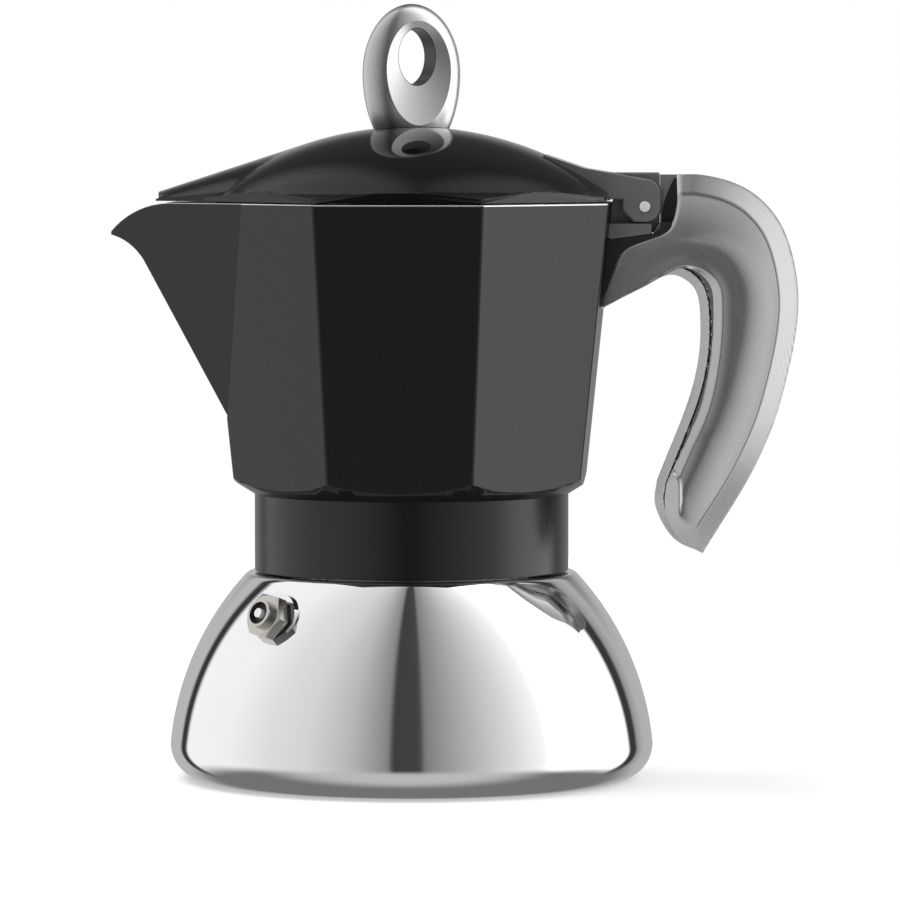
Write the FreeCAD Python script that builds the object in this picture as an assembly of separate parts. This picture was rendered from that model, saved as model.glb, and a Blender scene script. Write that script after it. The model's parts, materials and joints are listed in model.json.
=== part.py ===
import FreeCAD, Part
import math
import os

# Moka pot for induction hobs. Millimetres, +Z up, origin at the middle of the base,
# the pot's axis along Z, the spout towards -X and the handle towards +X.

Vector = FreeCAD.Vector
Y_AXIS = Vector(0, 1, 0)
Z_AXIS = Vector(0, 0, 1)
ORIGIN = Vector(0, 0, 0)
FAR = 200.0

# Clearances
BOND_GAP = 0.05
SEAT_GAP = 0.05
FIT_GAP = 0.1
RUN_GAP = 0.3
PIN_GAP = 0.05
PRESS_GAP = 0.01

# Threaded neck of the boiler, which the collar screws onto
NECK_R = 26.2
NECK_WALL = 3.7
NECK_RISE = 9.9
NECK_FLANGE = 2.5
NECK_FLANGE_T = 1.5
THREAD_PITCH = 3.0
THREAD_DEPTH = 1.2
THREAD_ROOT_WIDTH = 1.2
THREAD_TIP_WIDTH = 0.7
THREAD_TURNS = 2.0
THREAD_ROOT_SINK = 0.5
THREAD_TIP_GAP = 0.4
THREAD_START = 1.9

# Boiler bell
BASE_R = 47.1
FOOT_ROUND = 6.8
SHOULDER_STEP = 1.4
SHOULDER_Z = 40.3
BELL_ARC_R = 57.0
SHELL_WALL = 1.0
BASE_DISC_INSET = 2.3
LINER_WALL = 1.6

# Safety valve, its axis leaning up out of the bell
VALVE_ANGLE = 230.0
VALVE_LEAN = 20.0
VALVE_DROP = 7.3
VALVE_STANDOFF = 0.3
VALVE_PAD_R = 5.4
VALVE_BOSS_R = 5.0
VALVE_BOSS_DEPTH = 6.0
VALVE_SHANK_R = 2.6
VALVE_SHANK_LENGTH = 7.5
VALVE_WASHER_R = 3.8
VALVE_WASHER_T = 0.5
VALVE_HEX_AF = 8.0
VALVE_HEX_T = 2.5
VALVE_HEX_TURN = 13.0
VALVE_HEX_CHAMFER = 0.45
VALVE_NOSE_R = 2.75
VALVE_NOSE_T = 1.3
VALVE_MOUTH_R = 2.2
VALVE_BORE_R = 1.9
VALVE_SEAT_T = 1.2
VALVE_INLET_R = 0.9
VALVE_PLUG_HEAD_T = 0.5
VALVE_PLUG_DEPTH = 2.2
VALVE_PLUG_SINK = 1.0
VALVE_PIN_R = 0.9
VALVE_PIN_OUT = 0.1
VALVE_DISC_R = 1.7
VALVE_DISC_T = 0.65
SPRING_WIRE_R = 0.16
SPRING_CLEAR = 0.24
SPRING_TURNS = 7
SPRING_WIRE_SIDES = 8

# Funnel with the coffee basket
FUNNEL_RIM_STEP = 0.6
FUNNEL_RIM_T = 0.75
BASKET_GAP = 0.6
BASKET_DEPTH = 16.5
FUNNEL_WALL = 0.8
FUNNEL_CONE_DEPTH = 6.0
STEM_R = 4.2
STEM_FLOOR_GAP = 3.0
STEM_SLEEVE = 4.0
SIEVE_T = 0.8
SIEVE_HOLE_R = 0.6
SIEVE_MARGIN = 4.0
SIEVE_RINGS = 4

# Gasket and filter plate under the collector
GASKET_OVER = 0.4
GASKET_W = 6.8
GASKET_LIP_T = 2.5
FILTER_LAP = 2.8
FILTER_T = 0.8

# Collector
COLLAR_WALL = 2.8
COLLAR_GAP = 0.3
COLLAR_H = 15.0
CHAMFER_SLOPE = 0.62
JUG_STEP = 2.65
JUG_FLARE = 5.75
JUG_H = 56.7
COLLECTOR_WALL = 2.4
COLLECTOR_FLOOR_T = 5.9
INTAKE_STEP = 0.8
INTAKE_DEPTH = 3.6
COLUMN_FOOT_R = 7.0
COLUMN_SPIGOT_R = 5.0
COLUMN_TOP_R = 5.2
COLUMN_BORE_R = 3.2
COLUMN_H = 36.6
COLUMN_CAP_T = 2.5
COLUMN_WINDOW_W = 4.8
COLUMN_WINDOW_H = 6.0

# Spout: distances out from the rim's flat and down from the rim
SPOUT_H = 41.3
SPOUT_BEND_OUT = 12.4
SPOUT_BEND_DROP = 11.5
SPOUT_TIP_OUT = 19.4
SPOUT_TIP_DROP = 6.3
SPOUT_TIP_HALF = 3.5
SPOUT_ROOT_HALF = 24.2
SPOUT_DIP_OUT = 6.9
SPOUT_LIP = 0.7
SPOUT_LIP_BULGE = (0.45, 0.73)
SPOUT_WALL = 2.0
SPOUT_SAG = 0.8

# Lid
LID_GAP = 0.3
LID_INSET = 0.6
LID_RIM_T = 0.8
LID_WALL = 1.8
DOME_H = 14.4
DOME_EDGE_OVER = 2.6
DOME_FLARE_IN = 0.4
BEAK_SLOPE = 0.325
BEAK_ROOT_FLARE = 1.4
BEAK_MID_IN = 5.4
BEAK_MID_HALF = 17.8
BEAK_MID_DROP = 4.9
BEAK_SHORT = 9.2
BEAK_END_HALF = 7.6
BEAK_END_DROP = 1.4
BEAK_END_ROUND = 5.0

# Lid hinge behind the rim
HINGE_OUT = 6.65
HINGE_DROP = 0.7
HINGE_PIN_R = 1.05
HINGE_PIN_PROUD = 0.2
EAR_OUT_Y = 6.8
EAR_T = 2.3
EAR_END_R = 3.0
EAR_TOP = 5.35
EAR_TOP_SLOPE = 0.17
EAR_TOP_ROUND = 3.2
EAR_BACK = 4.3
EAR_HEEL = 2.1
RIDGE_LENGTH = 19.65
RIDGE_KNEE = 11.85
LUG_TOP = 6.5
LUG_END = 2.55
LUG_START = 6.35
ARM_T = 2.0
ARM_REACH = 1.25
ARM_RISE = 1.1

# Knob
KNOB_TURN = 27.6
KNOB_W = 20.3
KNOB_H = 23.8
KNOB_WAIST = 10.3
KNOB_LOW = 17.0
KNOB_T = 9.8
DISH_W = 21.3
DISH_H = 30.6
DISH_UP = 9.8
DISH_DEPTH = 2.25
KNOB_HOLE_W = 7.8
KNOB_HOLE_H = 11.0
KNOB_HOLE_UP = 13.5
INSERT_R = 2.4
INSERT_LENGTH = 4.6
KNOB_SCREW_R = 1.5
KNOB_SCREW_GRIP = 4.1
KNOB_SCREW_HEAD_R = 3.2
KNOB_SCREW_HEAD_T = 1.8
SCREW_SLOT_W = 0.8

# Handle: a core strip between two cheeks, clamped on the collector's tang
HANDLE_T = 17.0
CORE_T = 6.0
CORE_FRONT_GAP = 0.3
TONGUE_LOW = 1.0
CHEEK_EDGE_ROUND = 2.0
HANDLE_TOP = 6.1
TANG_DROP = 8.2
TANG_H = 3.8
TANG_LENGTH = 14.35
TANG_BOLT_OUT = (0.85, 10.35)
GRIP_BOLT_OUT = 13.85
GRIP_BOLT_DROP = 48.6
BOLT_R = 1.5
BOLT_HEAD_R = 2.8
BOLT_HEAD_T = 2.0
BOLT_HEAD_DEPTH = 3.0
BOLT_GRIP = 3.0

# Handle outlines, as distances out from and up from the hinge pin
HANDLE_BACK = ((10.65, 6.0), (17.05, 4.4), (22.15, 1.3), (26.75, -4.9), (29.55, -18.2),
               (26.25, -37.7), (21.35, -50.2), (11.25, -67.2))
CORE_INSIDE = ((-0.75, -15.9), (5.15, -13.3), (9.45, -15.9), (10.65, -24.0), (9.25, -34.6), (2.25, -53.3))
CORE_END = ((2.25, -53.3), (1.85, -58.1), (5.35, -64.4), (11.25, -67.2))
CHEEK_INSIDE = ((-0.75, -15.7), (7.95, -11.9), (12.35, -14.8), (13.25, -20.6), (11.25, -37.0),
                (4.25, -53.6))
CHEEK_END = ((4.25, -53.6), (4.15, -57.6), (6.95, -63.0), (11.25, -67.2))
ROOT_EDGE = ((-6.45, -13.4), (-4.25, -8.6), (0.15, -6.5), (4.65, -4.5), (6.45, 0.0), (6.05, 5.4))
ROOT_BAND = ((2.95, -4.0), (3.25, -1.0), (5.55, 5.4))
ROOT_FOOT_DROP = 18.2
HANDLE_FOOT_DROP = 19.8

# Sizes that follow from the ones above
COLLAR_BORE_R = NECK_R + THREAD_DEPTH + THREAD_TIP_GAP
COLLAR_R = COLLAR_BORE_R + COLLAR_WALL
SHOULDER_R = COLLAR_R + SHOULDER_STEP
FOOT_X = BASE_R - FOOT_ROUND
BASE_DISC_R = FOOT_X - BASE_DISC_INSET
BELL_REACH = BELL_ARC_R - FOOT_ROUND
COLLAR_Z = SHOULDER_Z + COLLAR_GAP
COLLAR_TOP_Z = COLLAR_Z + COLLAR_H
NECK_TOP_Z = SHOULDER_Z + NECK_RISE
NECK_BORE_R = NECK_R - NECK_WALL
LINER_OUT = SHELL_WALL + BOND_GAP
LINER_IN = LINER_OUT + LINER_WALL
FUNNEL_RIM_R = NECK_R - FUNNEL_RIM_STEP
FUNNEL_RIM_Z = NECK_TOP_Z + SEAT_GAP
BASKET_R = NECK_BORE_R - BASKET_GAP
GASKET_R = NECK_R + GASKET_OVER
GASKET_BORE_R = GASKET_R - GASKET_W
GASKET_Z = FUNNEL_RIM_Z + FUNNEL_RIM_T + SEAT_GAP
FILTER_R = GASKET_BORE_R + FILTER_LAP
FILTER_Z = GASKET_Z + GASKET_LIP_T + SEAT_GAP
SEAT_Z = FILTER_Z + FILTER_T + SEAT_GAP
FLOOR_Z = SEAT_Z + COLLECTOR_FLOOR_T
COLUMN_TOP_Z = FLOOR_Z + COLUMN_H
SIEVE_Z = FUNNEL_RIM_Z + FUNNEL_RIM_T - BASKET_DEPTH
STEM_LOW_Z = LINER_IN + STEM_FLOOR_GAP
JUG_LOW_AF = 2 * (COLLAR_R + JUG_STEP)
RIM_AF = JUG_LOW_AF + 2 * JUG_FLARE
RIM_Z = COLLAR_TOP_Z + JUG_H
SPOUT_LOW_Z = RIM_Z - SPOUT_H
SPOUT_BEND = (-RIM_AF / 2 - SPOUT_BEND_OUT, RIM_Z - SPOUT_BEND_DROP)
SPOUT_TIP = (-RIM_AF / 2 - SPOUT_TIP_OUT, RIM_Z - SPOUT_TIP_DROP)
SPOUT_ROOT_X = SPOUT_ROOT_HALF - RIM_AF / math.sqrt(2)
SPOUT_DIP_X = -RIM_AF / 2 - SPOUT_DIP_OUT
LID_Z = RIM_Z + LID_GAP
LID_AF = RIM_AF - 2 * LID_INSET
DOME_TOP_Z = LID_Z + DOME_H
DOME_R = ((LID_AF / 2 + DOME_EDGE_OVER) ** 2 + DOME_H ** 2) / (2 * DOME_H)
DOME_Z = DOME_TOP_Z - DOME_R
BEAK_ROOT_X = -DOME_R * math.sin(math.atan(BEAK_SLOPE))
BEAK_MID_X = BEAK_MID_IN - LID_AF / 2
BEAK_END_X = SPOUT_TIP[0] + BEAK_SHORT
HINGE_X = RIM_AF / 2 + HINGE_OUT
HINGE_Z = RIM_Z - HINGE_DROP
HINGE_END_Y = EAR_OUT_Y + HINGE_PIN_PROUD
EAR_IN_Y = EAR_OUT_Y - EAR_T
LUG_HALF = EAR_IN_Y - RUN_GAP
NOTCH_R = math.hypot(LUG_START, LUG_TOP) + RUN_GAP
ARM_END_X = HINGE_X + ARM_REACH
ARM_TOP_Z = HINGE_Z - EAR_END_R - RUN_GAP
ARM_LOW_Z = ARM_TOP_Z - ARM_T
CORE_FRONT_X = HINGE_X + LUG_END + CORE_FRONT_GAP
HANDLE_TOP_Z = HINGE_Z + HANDLE_TOP
TANG_TOP_Z = HINGE_Z - TANG_DROP
TANG_LOW_Z = TANG_TOP_Z - TANG_H
TANG_END_X = HINGE_X + TANG_LENGTH
VALVE_Z = SHOULDER_Z - VALVE_DROP
VALVE_HEX_Z = VALVE_WASHER_T + SEAT_GAP
VALVE_NOSE_Z = VALVE_HEX_Z + VALVE_HEX_T
VALVE_MOUTH_Z = VALVE_NOSE_Z + VALVE_NOSE_T
VALVE_PLUG_Z = VALVE_MOUTH_Z - VALVE_PLUG_SINK - VALVE_PLUG_HEAD_T
VALVE_SEAT_Z = VALVE_SEAT_T - VALVE_SHANK_LENGTH
SPRING_MEAN_R = VALVE_PIN_R + SPRING_CLEAR + SPRING_WIRE_R
KNOB_TOP_Z = DOME_TOP_Z + KNOB_H
KNOB_WAIST_Z = DOME_TOP_Z + KNOB_WAIST
DISH_Z = DOME_TOP_Z + DISH_UP
KNOB_HOLE_Z = DOME_TOP_Z + KNOB_HOLE_UP


# Drawing helpers

def flat(point):
    """A point of an XZ outline as a vector."""
    return Vector(point[0], 0, point[1])


def outline(start, *steps):
    """A closed XZ wire: a step is a point for a line, (through, end) for an arc, or a curve's list."""
    edges = []
    last = start
    for step in steps + (start,):
        if isinstance(step[0], (int, float)):
            if math.hypot(step[0] - last[0], step[1] - last[1]) > 1e-6:
                edges.append(Part.LineSegment(flat(last), flat(step)).toShape())
                last = step
        elif len(step) == 2:
            edges.append(Part.Arc(flat(last), flat(step[0]), flat(step[1])).toShape())
            last = step[1]
        else:
            curve = Part.BSplineCurve()
            curve.interpolate([flat(point) for point in step])
            edges.append(curve.toShape())
            last = step[-1]
    return Part.Wire(edges)


def lathe(start, *steps):
    """A solid of revolution about Z from an outline of radius and height."""
    return Part.Face(outline(start, *steps)).revolve(ORIGIN, Z_AXIS, 360)


def slab(low_y, high_y, start, *steps):
    """An XZ outline made solid from low_y to high_y."""
    face = Part.Face(outline(start, *steps))
    face.translate(Vector(0, low_y, 0))
    return face.extrude(Vector(0, high_y - low_y, 0))


def rod(radius, low, high, axis=Z_AXIS, base=ORIGIN):
    """A cylinder along an axis, between two distances from its base point."""
    return Part.makeCylinder(radius, high - low, base + axis * low, axis)


def ring(outer, inner, low, high):
    return rod(outer, low, high).cut(rod(inner, low - 1, high + 1))


def octagon(across, z):
    """An octagon with a flat towards each of X and Y."""
    radius = across / 2 / math.cos(math.pi / 8)
    corners = []
    for i in range(9):
        angle = math.pi / 8 + i * math.pi / 4
        corners.append(Vector(radius * math.cos(angle), radius * math.sin(angle), z))
    return Part.makePolygon(corners)


def octagon_prism(low_across, low_z, high_across, high_z):
    return Part.makeLoft([octagon(low_across, low_z), octagon(high_across, high_z)], True, True)


def half_space(point, normal):
    """A large block on the side of a plane that the normal points to."""
    block = Part.makeBox(2 * FAR, 2 * FAR, FAR, Vector(-FAR, -FAR, 0))
    block.Placement = FreeCAD.Placement(point, FreeCAD.Rotation(Z_AXIS, normal))
    return block


def ellipse_wire(width, height, z, y):
    """An upright ellipse in the plane at y."""
    centre = Vector(0, y, z)
    tall = centre + Vector(0, 0, height / 2)
    wide = centre + Vector(width / 2, 0, 0)
    return Part.Wire(Part.Ellipse(tall, wide, centre).toShape())


def helical_ridge(root_r, tip_r, z):
    """A thread ridge that starts at height z and winds up to the right."""
    half_root = THREAD_ROOT_WIDTH / 2
    half_tip = THREAD_TIP_WIDTH / 2
    path = Part.makeHelix(THREAD_PITCH, THREAD_PITCH * THREAD_TURNS, root_r)
    section = outline((root_r, -half_root), (tip_r, -half_tip), (tip_r, half_tip), (root_r, half_root))
    ridge = Part.Wire(path.Edges).makePipeShell([section], True, True)
    ridge.translate(Vector(0, 0, z))
    return ridge


def sieve_holes(radius, low, high):
    """Rings of small drain holes that fill a round plate."""
    holes = [rod(SIEVE_HOLE_R, low, high)]
    for i in range(1, SIEVE_RINGS + 1):
        for k in range(6 * i):
            angle = 2 * math.pi * k / (6 * i)
            reach = (radius - SIEVE_MARGIN) * i / SIEVE_RINGS
            place = Vector(reach * math.cos(angle), reach * math.sin(angle), 0)
            holes.append(rod(SIEVE_HOLE_R, low, high, base=place))
    return holes


# Boiler

def bell_angle():
    """Elevation of the normal where the foot's rounding runs into the bell's arc."""
    across = SHOULDER_R - FOOT_X
    up = SHOULDER_Z - FOOT_ROUND
    reach = math.hypot(across, up)
    share = (BELL_ARC_R ** 2 - BELL_REACH ** 2 - reach ** 2) / (2 * BELL_REACH)
    return math.atan2(up, across) - math.acos(share / reach)


def bell_centre():
    angle = bell_angle()
    return FOOT_X - BELL_REACH * math.cos(angle), FOOT_ROUND - BELL_REACH * math.sin(angle)


def bell_radius(z, inset=0.0):
    """Radius of the bell at a height, on the surface that lies inset under its skin."""
    centre_r, centre_z = bell_centre()
    return centre_r + math.sqrt((BELL_ARC_R - inset) ** 2 - (z - centre_z) ** 2)


def bell(inset):
    """The bell as a full solid, inset from its outside all round."""
    foot_r = FOOT_ROUND - inset
    angle = bell_angle()
    centre_r, centre_z = bell_centre()
    top_z = SHOULDER_Z - inset
    top_r = bell_radius(top_z, inset)
    arc_r = BELL_ARC_R - inset
    middle = (angle + math.asin((top_z - centre_z) / arc_r)) / 2
    low = (angle - math.pi / 2) / 2
    foot_mid = (FOOT_X + foot_r * math.cos(low), FOOT_ROUND + foot_r * math.sin(low))
    foot_end = (FOOT_X + foot_r * math.cos(angle), FOOT_ROUND + foot_r * math.sin(angle))
    bell_mid = (centre_r + arc_r * math.cos(middle), centre_z + arc_r * math.sin(middle))
    return lathe((0, inset), (FOOT_X, inset), (foot_mid, foot_end), (bell_mid, (top_r, top_z)), (0, top_z))


def valve_axis():
    turn = math.radians(VALVE_ANGLE)
    lean = math.radians(VALVE_LEAN)
    return Vector(math.cos(turn) * math.cos(lean), math.sin(turn) * math.cos(lean), math.sin(lean))


def valve_seat():
    """Middle of the flat seat that the valve stands on."""
    turn = math.radians(VALVE_ANGLE)
    reach = bell_radius(VALVE_Z)
    wall = Vector(reach * math.cos(turn), reach * math.sin(turn), VALVE_Z)
    return wall + valve_axis() * VALVE_STANDOFF


def on_valve(shape):
    """Stand a shape made along Z on the valve's seat."""
    turned = shape.copy()
    seat = FreeCAD.Placement(valve_seat(), FreeCAD.Rotation(Z_AXIS, valve_axis()))
    turned.Placement = seat.multiply(shape.Placement)
    return turned


def boiler_shell():
    inside = bell(SHELL_WALL)
    pad = on_valve(rod(VALVE_PAD_R, -VALVE_BOSS_DEPTH, 0)).cut(inside)
    shell = bell(0.0).cut(inside).fuse(pad)
    shell = shell.cut(on_valve(rod(VALVE_PAD_R + FIT_GAP, 0, VALVE_BOSS_DEPTH)))
    shell = shell.cut(on_valve(rod(VALVE_SHANK_R + FIT_GAP, -VALVE_BOSS_DEPTH, 1)))
    shell = shell.cut(rod(BASE_DISC_R + SEAT_GAP, -1, 2 * SHELL_WALL))
    return shell.cut(rod(NECK_R + FIT_GAP, SHOULDER_Z - 2 * SHELL_WALL, SHOULDER_Z + 1))


def boiler_base():
    """Induction disc set flush in the bell's turned-in foot."""
    return rod(BASE_DISC_R, 0, SHELL_WALL)


def boiler_liner():
    outside = bell(LINER_OUT)
    boss = on_valve(rod(VALVE_BOSS_R, -VALVE_BOSS_DEPTH, 0)).common(outside)
    liner = outside.cut(bell(LINER_IN)).fuse(boss)
    liner = liner.cut(rod(NECK_R + BOND_GAP, SHOULDER_Z - LINER_IN - 1, SHOULDER_Z))
    return liner.cut(on_valve(rod(VALVE_SHANK_R + PIN_GAP, -VALVE_SHANK_LENGTH, 1)))


def boiler_neck():
    """Threaded ring in the bell's mouth, with a flange under the liner."""
    flange_top = SHOULDER_Z - LINER_IN - BOND_GAP
    flange = rod(NECK_R + NECK_FLANGE, flange_top - NECK_FLANGE_T, flange_top)
    neck = flange.fuse(rod(NECK_R, flange_top - NECK_FLANGE_T, NECK_TOP_Z))
    neck = neck.cut(rod(NECK_BORE_R, flange_top - NECK_FLANGE_T - 1, NECK_TOP_Z + 1))
    ridge = helical_ridge(NECK_R - THREAD_ROOT_SINK, NECK_R + THREAD_DEPTH, SHOULDER_Z + THREAD_START)
    return neck.fuse(ridge)


# Safety valve

def valve_washer():
    return on_valve(ring(VALVE_WASHER_R, VALVE_SHANK_R + FIT_GAP, 0, VALVE_WASHER_T))


def valve_nut():
    """Hexagon with its outer corners turned off."""
    corner = VALVE_HEX_AF / 2 / math.cos(math.pi / 6)
    points = []
    for i in range(7):
        angle = math.radians(VALVE_HEX_TURN) + i * math.pi / 3
        points.append(Vector(corner * math.cos(angle), corner * math.sin(angle), VALVE_HEX_Z))
    nut = Part.Face(Part.makePolygon(points)).extrude(Vector(0, 0, VALVE_HEX_T))
    face_r = corner - VALVE_HEX_CHAMFER / math.tan(math.pi / 6)
    edge_z = VALVE_NOSE_Z - VALVE_HEX_CHAMFER
    return nut.common(lathe((0, VALVE_HEX_Z), (corner, VALVE_HEX_Z), (corner, edge_z), (face_r, VALVE_NOSE_Z),
                            (0, VALVE_NOSE_Z)))


def valve_body():
    shank = rod(VALVE_SHANK_R, -VALVE_SHANK_LENGTH, VALVE_HEX_Z)
    nose = rod(VALVE_NOSE_R, VALVE_NOSE_Z, VALVE_MOUTH_Z)
    body = valve_nut().fuse(shank).fuse(nose)
    body = body.cut(rod(VALVE_BORE_R, VALVE_SEAT_Z, VALVE_MOUTH_Z + 1))
    body = body.cut(rod(VALVE_MOUTH_R, VALVE_PLUG_Z - SEAT_GAP, VALVE_MOUTH_Z + 1))
    return on_valve(body.cut(rod(VALVE_INLET_R, -VALVE_SHANK_LENGTH - 1, VALVE_SEAT_Z + 1)))


def valve_plug():
    """Ring screwed into the valve's mouth, its head on a step below the edge."""
    low = VALVE_MOUTH_Z - VALVE_PLUG_DEPTH
    top = VALVE_PLUG_Z + VALVE_PLUG_HEAD_T
    head = rod(VALVE_MOUTH_R - PIN_GAP, VALVE_PLUG_Z, top)
    stem = rod(VALVE_BORE_R - PIN_GAP, low, top)
    return on_valve(head.fuse(stem).cut(rod(VALVE_PIN_R + PIN_GAP, low - 1, top + 1)))


def valve_pin():
    low = VALVE_SEAT_Z + SEAT_GAP
    disc = rod(VALVE_DISC_R, low, low + VALVE_DISC_T)
    return on_valve(disc.fuse(rod(VALVE_PIN_R, low, VALVE_MOUTH_Z + VALVE_PIN_OUT)))


def valve_spring():
    low = VALVE_SEAT_Z + SEAT_GAP + VALVE_DISC_T + SEAT_GAP + SPRING_WIRE_R
    top = VALVE_MOUTH_Z - VALVE_PLUG_DEPTH - SEAT_GAP - SPRING_WIRE_R
    pitch = (top - low) / SPRING_TURNS
    path = Part.makeHelix(pitch, top - low, SPRING_MEAN_R)
    corners = []
    for i in range(SPRING_WIRE_SIDES):
        angle = 2 * math.pi * (i + 0.5) / SPRING_WIRE_SIDES
        corners.append((SPRING_MEAN_R + SPRING_WIRE_R * math.cos(angle), SPRING_WIRE_R * math.sin(angle)))
    coil = Part.Wire(path.Edges).makePipeShell([outline(*corners)], True, True)
    coil.translate(Vector(0, 0, low))
    return on_valve(coil)


# Funnel, gasket and filter

def funnel_profile(inset):
    """The funnel as a full solid of revolution, inset from its outside."""
    rim_top = FUNNEL_RIM_Z + FUNNEL_RIM_T
    basket = BASKET_R - inset
    sleeve = STEM_R + PIN_GAP + FUNNEL_WALL - inset
    low = SIEVE_Z - FUNNEL_WALL + inset
    sleeve_z = SIEVE_Z - FUNNEL_CONE_DEPTH - STEM_SLEEVE - inset
    return lathe((0, sleeve_z), (sleeve, sleeve_z), (sleeve, low - FUNNEL_CONE_DEPTH),
                 (basket - FUNNEL_WALL, low - FUNNEL_WALL), (basket, low), (basket, rim_top + inset),
                 (0, rim_top + inset))


def funnel():
    rim = rod(FUNNEL_RIM_R, FUNNEL_RIM_Z, FUNNEL_RIM_Z + FUNNEL_RIM_T)
    return rim.fuse(funnel_profile(0.0)).cut(funnel_profile(FUNNEL_WALL))


def funnel_stem():
    """Riser tube pressed into the funnel's sleeve."""
    return ring(STEM_R, STEM_R - FUNNEL_WALL, STEM_LOW_Z, SIEVE_Z - FUNNEL_CONE_DEPTH)


def funnel_plate():
    radius = BASKET_R - FUNNEL_WALL - FIT_GAP
    plate = rod(radius, SIEVE_Z + SEAT_GAP, SIEVE_Z + SEAT_GAP + SIEVE_T)
    return plate.cut(sieve_holes(radius, SIEVE_Z - 1, SIEVE_Z + SIEVE_T + 1))


def gasket():
    top = SEAT_Z - SEAT_GAP
    washer = ring(GASKET_R, GASKET_BORE_R, GASKET_Z, top)
    return washer.cut(rod(FILTER_R + FIT_GAP, FILTER_Z - SEAT_GAP, top + 1))


def filter_plate():
    plate = rod(FILTER_R, FILTER_Z, FILTER_Z + FILTER_T)
    return plate.cut(sieve_holes(GASKET_BORE_R, FILTER_Z - 1, FILTER_Z + FILTER_T + 1))


# Collector

def across_at(z):
    """Width across the octagon's flats at a height."""
    return JUG_LOW_AF + (RIM_AF - JUG_LOW_AF) * (z - COLLAR_TOP_Z) / JUG_H


def spout_wedge(inset):
    """The space between the spout's two side walls, inset from their outsides."""
    corner = across_at(SPOUT_LOW_Z) / 2
    low = Vector(-corner, -corner * math.tan(math.pi / 8), SPOUT_LOW_Z)
    root = Vector(SPOUT_ROOT_X, -SPOUT_ROOT_HALF, RIM_Z)
    tip = Vector(SPOUT_TIP[0], -SPOUT_TIP_HALF, SPOUT_TIP[1])
    normal = (tip - low).cross(root - low)
    if normal.y < 0:
        normal = normal * -1
    normal.normalize()
    near = half_space(low + normal * inset, normal)
    low.y = -low.y
    normal.y = -normal.y
    return near.common(half_space(low + normal * inset, normal))


def spout(inset, top_z):
    """The spout as a full solid that starts inside the chamber, inset from its outside."""
    low = (-across_at(SPOUT_LOW_Z) / 2, SPOUT_LOW_Z)
    run = math.hypot(SPOUT_BEND[0] - low[0], SPOUT_BEND[1] - low[1])
    shift_x = inset * (SPOUT_BEND[1] - low[1]) / run
    shift_z = inset * (low[0] - SPOUT_BEND[0]) / run
    inside_x = SPOUT_ROOT_X + COLUMN_FOOT_R
    bend = (SPOUT_BEND[0] + shift_x, SPOUT_BEND[1] + shift_z)
    tip = (SPOUT_TIP[0] + shift_x, SPOUT_TIP[1] + shift_z)
    sag = ((bend[0] + tip[0]) / 2 + SPOUT_SAG / 2, (bend[1] + tip[1]) / 2 + SPOUT_SAG)
    profile = slab(-FAR / 2, FAR / 2, (inside_x, low[1] + shift_z), (low[0] + shift_x, low[1] + shift_z),
                   bend, (sag, tip), (tip[0], top_z), (inside_x, top_z))
    return profile.common(spout_wedge(inset))


def spout_rim_cut():
    """What lies above the spout's dipping lip."""
    tip = (SPOUT_TIP[0], SPOUT_TIP[1] + SPOUT_LIP)
    beyond_x = tip[0] - SPOUT_TIP_OUT
    through = (tip[0] + SPOUT_LIP_BULGE[0] * (SPOUT_DIP_X - tip[0]),
               tip[1] + SPOUT_LIP_BULGE[1] * (RIM_Z - tip[1]))
    return slab(-FAR / 2, FAR / 2, (beyond_x, tip[1]), tip, (through, (SPOUT_DIP_X, RIM_Z)),
                (SPOUT_DIP_X, FAR), (beyond_x, FAR))


def hinge_arm():
    """Rear arm with the upright lug that carries the hinge pin, and the tang for the handle."""
    inside_x = RIM_AF / 2 - COLLECTOR_WALL
    arm = slab(-EAR_OUT_Y, EAR_OUT_Y, (inside_x, ARM_LOW_Z - ARM_RISE), (RIM_AF / 2, ARM_LOW_Z - ARM_RISE),
               (ARM_END_X, ARM_LOW_Z), (ARM_END_X, ARM_TOP_Z), (inside_x, ARM_TOP_Z))
    lug_x = HINGE_X - LUG_START
    lug_end = HINGE_X + LUG_END
    lug = slab(-LUG_HALF, LUG_HALF, (inside_x, ARM_LOW_Z), (ARM_END_X, ARM_LOW_Z), (lug_end, ARM_TOP_Z),
               (lug_end, HINGE_Z + LUG_TOP), (lug_x, HINGE_Z + LUG_TOP), (lug_x, RIM_Z), (inside_x, RIM_Z))
    tang_x = across_at(TANG_LOW_Z) / 2 - COLLECTOR_WALL / 2
    arm = arm.fuse(lug).fuse(tang(tang_x, 0.0))
    for place in bolt_places():
        arm = arm.cut(bolt_hole(*place))
    return arm.cut(hinge_rod(HINGE_PIN_R + PRESS_GAP, EAR_OUT_Y))


def tang(start_x, grow):
    """Flat bar that the handle is clamped on, grown all round for the slots that it fills."""
    half = CORE_T / 2 + grow
    return slab(-half, half, (start_x, TANG_LOW_Z - grow), (TANG_END_X + grow, TANG_LOW_Z - grow),
                (TANG_END_X + grow, TANG_TOP_Z + grow), (start_x, TANG_TOP_Z + grow))


def hinge_rod(radius, half_length):
    return rod(radius, -half_length, half_length, Y_AXIS, Vector(HINGE_X, 0, HINGE_Z))


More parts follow.
